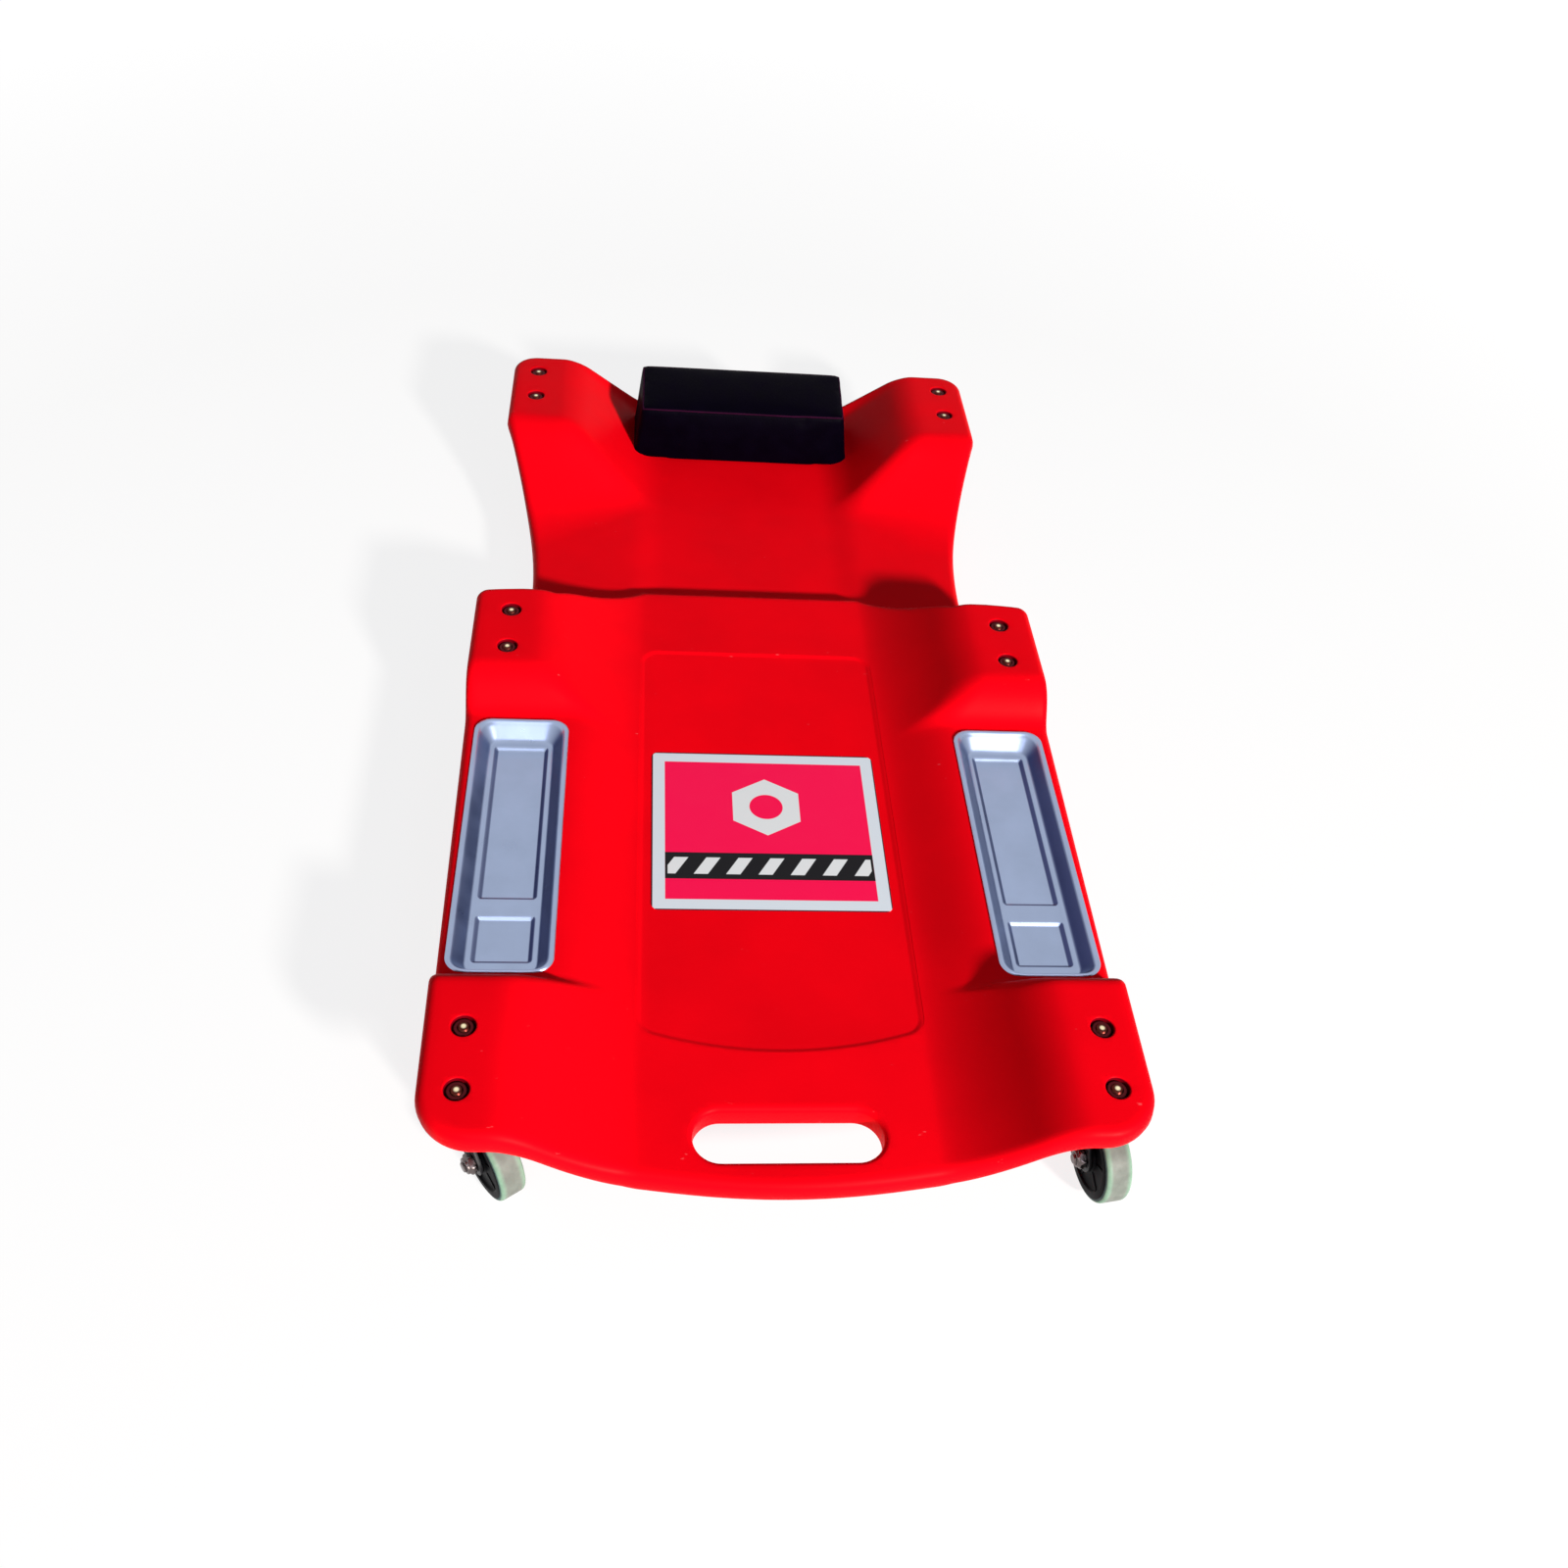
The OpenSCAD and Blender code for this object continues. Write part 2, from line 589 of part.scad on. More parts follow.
// Headrest
pad_taper = 12;
pad_edge_r = 6;
pad_crown = 3;
pad_drawn_in = 3;
pad_back_rise = 7;
ring_corner_steps = 4;
ring_side_steps = 4;
// Height of the deck's top as its columns span it, where it doesn't change along the deck
function spanned_z(x, y) =
    let (i = max([for (k = [0:len(set_columns) - 2]) set_columns[k] <= abs(x) ? k : 0]),
        x0 = set_columns[i], x1 = set_columns[i + 1], t = (abs(x) - x0) / (x1 - x0))
    deck_z(x0, y) * (1 - t) + deck_z(x1, y) * t;
// Outline of the pad across its depth, as shares of half its size, with round corners
function pad_ring(half_y, half_z, r) = [
    for (q = [0:3]) let (sy = [1, -1, -1, 1][q], sz = [1, 1, -1, -1][q])
        each concat(
            [for (k = [0:ring_corner_steps])
                let (a = 90 * q + 90 * k / ring_corner_steps)
                [sy * (half_y - r) + r * cos(a), sz * (half_z - r) + r * sin(a)]],
            [for (k = [1:ring_side_steps - 1])
                let (f = 1 - 2 * k / ring_side_steps)
                q % 2 == 0 ? [sy * (half_y - r) * f, sz * half_z] : [sy * half_y, sz * (half_z - r) * f]])
];
// Stations along the pad as shares of its half width, with how much the ring there is drawn in
pad_station_shares = [1, 0.987, 0.95, 0.9, 0.75, 0.55, 0.3];
pad_round_shares = [1, 0.5, 0.13, 0, 0, 0, 0];
module pad_blank() {
    stations = concat([for (i = [0:6]) [-pad_station_shares[i], pad_round_shares[i]]], [[0, 0]],
        [for (i = [6:-1:0]) [pad_station_shares[i], pad_round_shares[i]]]);
    rings = [for (st = stations)
        let (inset = pad_edge_r * st[1], full = 1 - pow(abs(st[0]), 4))
        [for (p = pad_ring(pad_depth / 2 - inset, pad_h / 2 - inset, pad_edge_r))
            let (up = (p.y / pad_h + 0.5),
                // The top is crowned, and the sides swell between their edges
                crown = p.y > 0 ? pad_crown * full * (1 - pow(2 * p.x / pad_depth, 2)) * pow(2 * p.y / pad_h, 2) : 0,
                swell = -pad_drawn_in * (1 - full * (1 - pow(2 * p.y / pad_h, 2))),
                half = pad_w / 2 - pad_taper * up + swell,
                x = st[0] * half,
                y = p.x + sign(p.x) * swell * pow(abs(2 * p.x / pad_depth), 4),
                z = pad_h / 2 + p.y + crown + pad_back_rise * up * p.x / pad_depth)
            [x, y_pad + y, max(valley_top + z, spanned_z(x, y_pad) + seat_gap)]]];
    m = len(rings[0]);
    k = len(rings);
    ends = [[for (c = [0, 1, 2]) [for (p = rings[0]) p[c]] * [for (p = rings[0]) 1 / m]],
        [for (c = [0, 1, 2]) [for (p = rings[k - 1]) p[c]] * [for (p = rings[k - 1]) 1 / m]]];
    points = concat([for (r = rings) each r], ends);
    skin = [for (i = [0:k - 2]) for (j = [0:m - 1])
        let (a = i * m + j, b = i * m + (j + 1) % m)
        each [[a, b + m, b], [a, a + m, b + m]]];
    caps = concat([for (j = [0:m - 1]) [k * m, j, (j + 1) % m]],
        [for (j = [0:m - 1]) [k * m + 1, (k - 1) * m + (j + 1) % m, (k - 1) * m + j]]);
    polyhedron(points = points, faces = concat(skin, caps));
}
module headrest_pad() {
    color("#17141f") difference() {
        pad_blank();
        translate([-board_len / 2, y_pad - board_w / 2, valley_top - cut]) cube([board_len, board_w, board_t + cut]);
    }
}
screw_short = 2;
screw_bite = board_t - screw_short;
module headrest_board() {
    color("#b58a5a") difference() {
        translate([-board_len / 2, y_pad - board_w / 2, valley_top]) cube([board_len, board_w, board_t]);
        for (s = [-1, 1]) translate([s * screw_x, y_pad, valley_top - cut])
            cylinder(d = screw_d, h = screw_bite + cut);
    }
}
module headrest_screws() {
    color("#8c8c8c") for (s = [-1, 1]) translate([s * screw_x, y_pad, 0]) union() {
        translate([0, 0, valley_top - deck_t - washer_t - screw_head_h])
            cylinder(d = 2 * screw_d, h = screw_head_h);
        translate([0, 0, valley_top - deck_t - washer_t - screw_head_h / 2])
            cylinder(d = screw_d, h = deck_t + washer_t + screw_head_h / 2 + screw_bite);
    }
}
module headrest_washers() {
    color("#9a9a9a") for (s = [-1, 1]) translate([s * screw_x, y_pad, valley_top - deck_t - washer_t])
        difference() {
            cylinder(d = 3 * screw_d, h = washer_t);
            translate([0, 0, -cut]) cylinder(r = screw_d / 2 + bolt_gap_r, h = washer_t + 2 * cut);
        }
}

// Label on the sunk panel
label_corner_r = 6;
module label() {
    color("#d9dde2") translate([0, y_label, bed_top - panel_sink])
        rounded_plate(label_w, label_len, label_corner_r, label_t);
}

// Fasteners of the caster plates
module plate_bolts() {
    color("#b9a86a") at_plate_bolts() union() {
        translate([0, 0, z_plate - head_h]) cylinder(d = nut_af / cos(30), h = head_h, $fn = 6);
        translate([0, 0, z_plate - head_h / 2])
            cylinder(d = bolt_d, h = pad_top - bolt_below - z_plate + head_h / 2);
    }
}
module plate_washers() {
    color("#8f8f92") at_plate_bolts() translate([0, 0, cup_floor]) difference() {
        cylinder(d = washer_d, h = washer_t);
        translate([0, 0, -cut]) cylinder(r = bolt_d / 2 + bolt_gap_r / 2, h = washer_t + 2 * cut);
    }
}
module plate_nuts() {
    color("#a89a5c") at_plate_bolts() translate([0, 0, cup_floor + washer_t]) difference() {
        cylinder(d = nut_af / cos(30), h = nut_h, $fn = 6);
        translate([0, 0, -cut]) cylinder(d = bolt_d, h = nut_h + 2 * cut);
    }
}

// Swivel
module swivel_kingpins() {
    color("#77777c") for (c = casters) at_plate(c) union() {
        translate([0, 0, caster_h - pin_head_t]) cylinder(r = pin_head_r, h = pin_head_t);
        translate([0, 0, z_crown_low - pin_head_t]) cylinder(r = pin_r, h = caster_h - z_crown_low);
        translate([0, 0, z_crown_low - running_gap - pin_head_t]) cylinder(r = pin_tail_r, h = pin_head_t);
    }
}
module swivel_balls() {
    color("#c9c9cf") for (c = casters, i = [0:ball_count - 1])
        at_plate(c) rotate(360 * i / ball_count) translate([race_r, 0, z_ball]) sphere(ball_r);
}
module race_groove() {
    rotate_extrude() translate([race_r, z_ball]) circle(ball_r + ball_gap);
}
module caster_plate(c) {
    color("#6f7074") at_plate(c) difference() {
        union() {
            translate([0, 0, z_plate]) rounded_plate(plate_w, plate_len, 0.35 * plate_w, plate_t);
            translate([0, 0, z_race]) cylinder(r = race_r + race_wall, h = race_h + plate_t / 2);
        }
        translate([0, 0, z_race - cut]) cylinder(r = pin_r, h = race_h + plate_t + 2 * cut);
        translate([0, 0, caster_h - pin_head_t]) cylinder(r = pin_head_r, h = pin_head_t + cut);
        race_groove();
        for (s = [-1, 1]) translate([0, s * bolt_gap / 2, z_plate - cut])
            cylinder(r = bolt_d / 2 + bolt_gap_r, h = plate_t + 2 * cut);
    }
}

// Fork: a crown with the lower race, and two legs that trail back to the axle
module leg_outline() {
    hull() {
        translate([-trail, z_axle]) circle(leg_boss_r, $fn = hull_sides);
        translate([-leg_top_half, z_crown_low]) square([2 * leg_top_half, leg_crown_overlap]);
    }
}
module fork(c) {
    color("#26262a") at_fork(c) difference() {
        union() {
            translate([0, 0, z_crown_low]) cylinder(r = race_r + race_wall, h = crown_t);
            for (s = [-1, 1]) translate([s * (fork_gap + fork_t) / 2 - fork_t / 2, 0, 0])
                rotate([90, 0, 90]) linear_extrude(fork_t) leg_outline();
        }
        translate([0, 0, z_crown_low - cut]) cylinder(r = pin_r + running_gap, h = crown_t + 2 * cut);
        race_groove();
        translate([-fork_w / 2 - cut, -trail, z_axle]) rotate([0, 90, 0])
            cylinder(d = bolt_d, h = fork_w + 2 * cut);
    }
}
module axle_bolt(c) {
    color("#a7a7ad") at_axle(c) union() {
        translate([0, 0, fork_w / 2]) cylinder(d = nut_af / cos(30), h = head_h, $fn = 6);
        translate([0, 0, -fork_w / 2 - nut_h - thread_over])
            cylinder(d = bolt_d, h = fork_w + nut_h + thread_over + head_h / 2);
    }
}
module axle_nut(c) {
    color("#c4c4ca") at_axle(c) translate([0, 0, -fork_w / 2 - nut_h]) difference() {
        cylinder(d = nut_af / cos(30), h = nut_h, $fn = 6);
        translate([0, 0, -cut]) cylinder(d = bolt_d, h = nut_h + 2 * cut);
    }
}
module sleeve(c) {
    color("#9fa0a5") at_axle(c) difference() {
        cylinder(r = sleeve_r, h = fork_gap, center = true);
        cylinder(d = bolt_d, h = fork_gap + 2 * cut, center = true);
    }
}

// Wheel: a moulded core that turns on the sleeve, with a soft tread round it
tread_t = 6;
core_r = wheel_d / 2 - tread_t;
core_rim = 3;
hub_wall = 4.5;
hub_r = sleeve_r + hub_wall;
web_t = 5;
tread_round = 3;
module wheel_core(c) {
    bore = sleeve_r + running_gap;
    color("#141416") at_axle(c) rotate_extrude() union() {
        translate([bore, -hub_w / 2]) square([hub_r - bore, hub_w]);
        translate([bore, -web_t / 2]) square([core_r - bore, web_t]);
        translate([core_r - core_rim, -tread_w / 2]) square([core_rim, tread_w]);
    }
}
module tread(c) {
    color("#b9bfae") at_axle(c) rotate_extrude() union() {
        translate([core_r, -tread_w / 2]) square([wheel_d / 2 - core_r - tread_round, tread_w]);
        translate([core_r, -tread_w / 2 + tread_round])
            square([wheel_d / 2 - core_r, tread_w - 2 * tread_round]);
        for (s = [-1, 1]) translate([wheel_d / 2 - tread_round, s * (tread_w / 2 - tread_round)])
            circle(tread_round);
    }
}

deck();
left_tool_tray();
right_tool_tray();
headrest_pad();
headrest_board();
headrest_screws();
headrest_washers();
label();
plate_bolts();
plate_washers();
plate_nuts();
swivel_kingpins();
swivel_balls();
caster_plate(foot_left_at);  // foot_left_plate
fork(foot_left_at);  // foot_left_fork
axle_bolt(foot_left_at);  // foot_left_axle_bolt
axle_nut(foot_left_at);  // foot_left_axle_nut
sleeve(foot_left_at);  // foot_left_sleeve
wheel_core(foot_left_at);  // foot_left_wheel
tread(foot_left_at);  // foot_left_tread
caster_plate(foot_right_at);  // foot_right_plate
fork(foot_right_at);  // foot_right_fork
axle_bolt(foot_right_at);  // foot_right_axle_bolt
axle_nut(foot_right_at);  // foot_right_axle_nut
sleeve(foot_right_at);  // foot_right_sleeve
wheel_core(foot_right_at);  // foot_right_wheel
tread(foot_right_at);  // foot_right_tread
caster_plate(mid_left_at);  // mid_left_plate
fork(mid_left_at);  // mid_left_fork
axle_bolt(mid_left_at);  // mid_left_axle_bolt
axle_nut(mid_left_at);  // mid_left_axle_nut
sleeve(mid_left_at);  // mid_left_sleeve
wheel_core(mid_left_at);  // mid_left_wheel
tread(mid_left_at);  // mid_left_tread
caster_plate(mid_right_at);  // mid_right_plate
fork(mid_right_at);  // mid_right_fork
axle_bolt(mid_right_at);  // mid_right_axle_bolt
axle_nut(mid_right_at);  // mid_right_axle_nut
sleeve(mid_right_at);  // mid_right_sleeve
wheel_core(mid_right_at);  // mid_right_wheel
tread(mid_right_at);  // mid_right_tread
caster_plate(head_left_at);  // head_left_plate
fork(head_left_at);  // head_left_fork
axle_bolt(head_left_at);  // head_left_axle_bolt
axle_nut(head_left_at);  // head_left_axle_nut
sleeve(head_left_at);  // head_left_sleeve
wheel_core(head_left_at);  // head_left_wheel
tread(head_left_at);  // head_left_tread
caster_plate(head_right_at);  // head_right_plate
fork(head_right_at);  // head_right_fork
axle_bolt(head_right_at);  // head_right_axle_bolt
axle_nut(head_right_at);  // head_right_axle_nut
sleeve(head_right_at);  // head_right_sleeve
wheel_core(head_right_at);  // head_right_wheel
tread(head_right_at);  // head_right_tread
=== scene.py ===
import json
import math
from functools import partial

import bmesh
import bpy
import numpy as np
from mathutils import Matrix, Vector


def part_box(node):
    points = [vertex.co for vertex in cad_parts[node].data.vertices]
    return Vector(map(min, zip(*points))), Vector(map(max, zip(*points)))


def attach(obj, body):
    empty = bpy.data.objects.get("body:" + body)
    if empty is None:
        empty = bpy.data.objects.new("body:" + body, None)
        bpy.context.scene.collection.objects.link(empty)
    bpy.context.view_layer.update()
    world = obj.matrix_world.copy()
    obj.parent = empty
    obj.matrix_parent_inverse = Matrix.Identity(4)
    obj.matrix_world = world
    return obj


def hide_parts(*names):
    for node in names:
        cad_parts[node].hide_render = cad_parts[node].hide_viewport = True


bl_info = {
    "name": "Mechanic creeper",
    "version": (1, 0, 0),
    "blender": (4, 5, 0),
    "location": "View3D > Sidebar > Creeper",
    "description": "Dresses the packed creeper: its deck, trays, headrest, label and casters",
    "category": "Object",
}

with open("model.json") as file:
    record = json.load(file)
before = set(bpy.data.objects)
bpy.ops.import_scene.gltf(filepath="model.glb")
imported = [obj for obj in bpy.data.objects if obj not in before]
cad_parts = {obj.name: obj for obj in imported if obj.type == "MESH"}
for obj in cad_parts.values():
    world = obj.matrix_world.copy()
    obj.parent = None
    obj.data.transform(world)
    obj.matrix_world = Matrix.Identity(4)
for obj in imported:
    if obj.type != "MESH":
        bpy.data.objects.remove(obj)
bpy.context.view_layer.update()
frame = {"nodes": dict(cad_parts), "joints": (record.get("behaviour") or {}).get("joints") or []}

MM = 0.001
DECK_BODY = "deck_body"
CORNERS = [row + side for row in ("foot_", "mid_", "head_") for side in ("left", "right")]

# Sizes of the deck in millimetres, as the source has them
deck_low, deck_high = (np.array(c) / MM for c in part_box("deck"))
Y_GRIP, Y_HEAD = deck_low[1], deck_high[1]
SHOULDER_HALF = deck_high[0]
DECK_HALF = SHOULDER_HALF - 5.5
PAD_TOP = deck_high[2]
DECK_T = 20.0
EDGE_R = 7.0
BED_HALF, DISH_HALF, HEAD_DISH_HALF = 100.0, 178.0, 175.0
BED_DROP, NECK_DROP, LEDGE_DROP = 45.0, 60.0, 27.0
NECK_HALF, NECK_STRAIGHT = 204.5, 70.0
FRONT_BOW, BOW_HALF, BOW_FADE, BOW_POWER = 10.0, 110.0, 70.0, 1.2
Y_FOOT = Y_GRIP + FRONT_BOW
# The foot pads end 6 mm further back than on the solid, to make up for their softer fold
Y_FOOT_END = Y_GRIP + 139
Y_SHOULDER = Y_HEAD - 401
Y_SHOULDER_FRONT = Y_SHOULDER - 110
Y_EAR = Y_HEAD - 129
FOOT_CORNER_R, SHOULDER_CORNER_R, NECK_FILLET_R, EAR_CORNER_R = 38.0, 12.0, 14.0, 24.0
SHOULDER_SLANT = math.radians(10)
SHOULDER_SLOPE, FOOT_SLOPE, NECK_SLOPE, RUN_ON = 22.0, 12.0, 38.0, 57.0
FLANK_POWER = 1.5
# The head pads: rise over run of their inner slopes, and length and shape of their front slopes
HEAD_INNER_RISE = 0.8
HEAD_SLOPE_IN, HEAD_SLOPE_OUT, HEAD_SLOPE_POWER = 67.5, 165.0, 2
CURL_H, CURL_LEN = 10.0, 22.0
# Widths over which two slopes blend at a fold
CREST, HOLLOW = 7.0, 14.0
LEDGE_FOLD, PAD_FOLD, FLANK_FOLD, HEAD_FOLD = 9.0, 18.0, 15.0, 12.0
BED_Z = PAD_TOP - BED_DROP
LEDGE_Z = PAD_TOP - LEDGE_DROP
VALLEY_Z = PAD_TOP - NECK_DROP
SLOT_Y, SLOT_LEN, SLOT_W = Y_GRIP + 39, 128.0, 38.0
PANEL_Y, PANEL_HALF, PANEL_SAG, PANEL_R = Y_GRIP + 125, 98.0, 17.0, 12.0
PANEL_END = Y_SHOULDER - 31
CUP_FLOOR, CUP_R, BOLT_R = 94.9, 8.1, 4.0
BOLT_SPACING = 48.0
HEX_FLATS = 13.0
AXLE_Z = 31.75
RIM_ANGLES = np.radians([0, 20, 40, 60, 80])


def clamp01(t):
    return np.clip(t, 0.0, 1.0)


def soft_min(a, b, k):
    """The smaller of two heights, blended over a width k"""
    h = np.maximum(k - np.abs(a - b), 0.0)
    return np.minimum(a, b) - h * h / (4 * k)


def soft_max(a, b, k):
    return -soft_min(-a, -b, k)


# Colour and node helpers
def linear(code):
    """A colour written as sRGB hex, as the linear one that the shaders take"""
    parts = [int(code[i:i + 2], 16) / 255 for i in (1, 3, 5)]
    return tuple(c / 12.92 if c <= 0.04045 else ((c + 0.055) / 1.055) ** 2.4 for c in parts) + (1.0,)


def add_node(tree, kind, inputs=None, out=0, **settings):
    """Adds a node, sets its options, fills or links its inputs, and gives one of its outputs"""
    node = tree.nodes.new("ShaderNode" + kind)
    for name, value in settings.items():
        setattr(node, name, value)
    for name, value in (inputs or {}).items():
        if isinstance(value, bpy.types.NodeSocket):
            tree.links.new(value, node.inputs[name])
        else:
            node.inputs[name].default_value = value
    return node.outputs[out] if node.outputs else None


def new_material(name):
    """An empty material, what adds its nodes, and the place on the object that its patterns follow"""
    material = bpy.data.materials.new(name)
    material.use_nodes = True
    material.node_tree.nodes.clear()
    node = partial(add_node, material.node_tree)
    return material, node, node("TexCoord", out="Object")


# Mesh helpers
def select_only(*objects):
    bpy.ops.object.select_all(action="DESELECT")
    for obj in objects:
        obj.select_set(True)
    bpy.context.view_layer.objects.active = objects[0]


def apply_modifier(obj, kind, **settings):
    """Adds a modifier and applies it"""
    select_only(obj)
    modifier = obj.modifiers.new(kind.title(), kind)
    for name, value in settings.items():
        setattr(modifier, name, value)
    bpy.ops.object.modifier_apply(modifier=modifier.name)


def clean_mesh(obj, merge=0.00001):
    """Merges doubles and points the faces outwards"""
    select_only(obj)
    bpy.ops.object.mode_set(mode="EDIT")
    bpy.ops.mesh.select_all(action="SELECT")
    bpy.ops.mesh.remove_doubles(threshold=merge)
    bpy.ops.mesh.normals_make_consistent(inside=False)
    bpy.ops.object.mode_set(mode="OBJECT")


def named(obj, name):
    obj.name = name
    obj.data.name = name
    return obj


def join(name, objects):
    select_only(*objects)
    if len(objects) > 1:
        bpy.ops.object.join()
    return named(bpy.context.view_layer.objects.active, name)


def copied(source, name, matrix):
    """A copy of a finished shape with its own mesh, set in place in that mesh"""
    obj = source.copy()
    obj.data = source.data.copy()
    obj.data.transform(matrix)
    bpy.context.scene.collection.objects.link(obj)
    return named(obj, name)


def drop(*objects):
    for obj in objects:
        bpy.data.objects.remove(obj)


def dress(obj, material, body, nodes, angle):
    """Smooths a finished piece up to an angle, gives it its material, and ties it to the frame"""
    select_only(obj)
    bpy.ops.object.shade_smooth_by_angle(angle=math.radians(angle))
    obj.data.materials.clear()
    obj.data.materials.append(material)
    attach(obj, body)
    if nodes:
        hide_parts(*nodes)


def points(obj):
    """The points of a mesh in millimetres"""
    co = np.empty(len(obj.data.vertices) * 3)
    obj.data.vertices.foreach_get("co", co)
    return co.reshape(-1, 3) / MM


def set_points(obj, co):
    obj.data.vertices.foreach_set("co", (co * MM).ravel())
    obj.data.update()


def note_share(obj, name, values):
    """Gives each point of a mesh a value that its material reads"""
    share = obj.data.attributes.new(name, "FLOAT", "POINT")
    share.data.foreach_set("value", values.astype(np.float32))


def grid(columns, rows):
    """A flat grid that runs from -1 to 1"""
    bpy.ops.object.select_all(action="DESELECT")
    bpy.ops.mesh.primitive_grid_add(x_subdivisions=columns - 1, y_subdivisions=rows - 1, size=2)
    return bpy.context.view_layer.objects.active


def grid_places(obj, columns, rows):
    """Column, row and layer of each point of a grid, with its layers 1 apart and the first one on top"""
    x, y, z = (points(obj) * MM).T
    places = (x + 1) / 2 * (columns - 1), (y + 1) / 2 * (rows - 1), -z
    return [np.rint(place).astype(int) for place in places]


def lofted(name, rings, closed=False):
    """A shape grown ring by ring: a circle is added, and its face or its edge is extruded to each ring.
    A closed one ends on its first ring, as a washer or a tyre does."""
    rings = np.asarray(rings, float) * MM
    count = rings.shape[1]
    bpy.ops.object.select_all(action="DESELECT")
    bpy.ops.mesh.primitive_circle_add(vertices=count, radius=1, fill_type="NOTHING" if closed else "NGON")
    obj = bpy.context.view_layer.objects.active
    obj.name = name
    bpy.ops.object.mode_set(mode="EDIT")
    mesh = bmesh.from_edit_mesh(obj.data)
    mesh.verts.layers.int.new("place")
    for step, ring in enumerate(rings):
        if step and closed:
            bpy.ops.mesh.extrude_edges_move()
        elif step:
            bpy.ops.mesh.extrude_region_move()
        mesh = bmesh.from_edit_mesh(obj.data)
        place = mesh.verts.layers.int["place"]
        for index, v in enumerate(v for v in mesh.verts if v.select):
            if step == 0:
                v[place] = index
            v.co = ring[v[place]]
    bmesh.update_edit_mesh(obj.data)
    bpy.ops.object.mode_set(mode="OBJECT")
    obj.data.attributes.remove(obj.data.attributes["place"])
    clean_mesh(obj)
    return obj


def circle(radius, z, count=48, centre=(0.0, 0.0)):
    """A ring of points; radius and z are numbers or one value for each point"""
    a = np.arange(count) * 2 * math.pi / count
    return np.stack([centre[0] + radius * np.cos(a), centre[1] + radius * np.sin(a), a * 0 + z], axis=1)


def turned(name, profile, closed=False, count=48, centre=(0.0, 0.0)):
    """A shape turned round Z from pairs of radius and height"""
    return lofted(name, [circle(r, z, count, centre) for r, z in profile], closed)


def hex_rings(flats, levels):
    """Rings of a hexagon: the radius that cuts its corners, as a share of half the flats, and the height"""
    count = 48
    a = np.arange(count) * 2 * math.pi / count
    radius = flats / 2 / np.cos(a % (math.pi / 3) - math.pi / 6)
    return [circle(np.minimum(radius, flats / 2 * share), z, count) for share, z in levels]


def arc(x, y, r, start, end, steps=5):
    """Points of an arc, from one angle to another in degrees"""
    a = np.radians(np.linspace(start, end, steps))
    return np.stack([x + r * np.cos(a), y + r * np.sin(a)], axis=1)


def outset(points, distance):
    """An outline moved outwards by a distance; it runs anticlockwise"""
    ahead = np.roll(points, -1, axis=0) - points
    behind = points - np.roll(points, 1, axis=0)
    along = ahead / np.linalg.norm(ahead, axis=1)[:, None] + behind / np.linalg.norm(behind, axis=1)[:, None]
    along /= np.linalg.norm(along, axis=1)[:, None]
    return points + distance * np.stack([along[:, 1], -along[:, 0]], axis=1)


def rounded_rectangle(half_x, half_y, r, centre=(0.0, 0.0)):
    x, y = half_x - r, half_y - r
    corners = ((x, -y, -90), (x, y, 0), (-x, y, 90), (-x, -y, 180))
    return np.concatenate([arc(centre[0] + x, centre[1] + y, r, start, start + 90, 8)
                           for x, y, start in corners])


def stacked(name, outline, levels):
    """A solid through one outline at levels, each a height and how far the outline moves outwards there"""
    return lofted(name, [np.column_stack([outset(outline, out) if out else outline, np.full(len(outline), z)])
                         for z, out in levels])


def cutter(outline, floor, top, rim, under=None):
    """A solid that cuts an outline down to a floor, with rounded rims at the top and under a through cut"""
    levels = [(floor, 0.0)]
    if under is not None:
        levels = [(under - 3, rim * 1.45), (under, rim * 1.1)]
        levels += [(under + rim - rim * math.sin(a), rim * (1 - math.cos(a))) for a in RIM_ANGLES[::-1]]
    levels += [(top - rim + rim * math.sin(a), rim * (1 - math.cos(a))) for a in RIM_ANGLES]
    levels += [(top + 0.1 * rim, rim * 1.45), (top + 60, rim * 1.45)]
    return stacked("cutter", outline, levels)


# The deck's surface, in millimetres
def round_end(past, r, half):
    return half - r + math.sqrt(max(0.0, r * r - past * past))


SHOULDER_ARC_X = SHOULDER_HALF - SHOULDER_CORNER_R * (1 - math.sin(SHOULDER_SLANT))
SHOULDER_ARC_Y = Y_SHOULDER - SHOULDER_CORNER_R * (1 - math.cos(SHOULDER_SLANT))
FILLET_X = NECK_HALF + NECK_FILLET_R
FILLET_START_X = FILLET_X - NECK_FILLET_R * math.sin(SHOULDER_SLANT)
FILLET_START_Y = SHOULDER_ARC_Y + (SHOULDER_ARC_X - FILLET_START_X) * math.tan(SHOULDER_SLANT)
FILLET_Y = FILLET_START_Y + NECK_FILLET_R * math.cos(SHOULDER_SLANT)


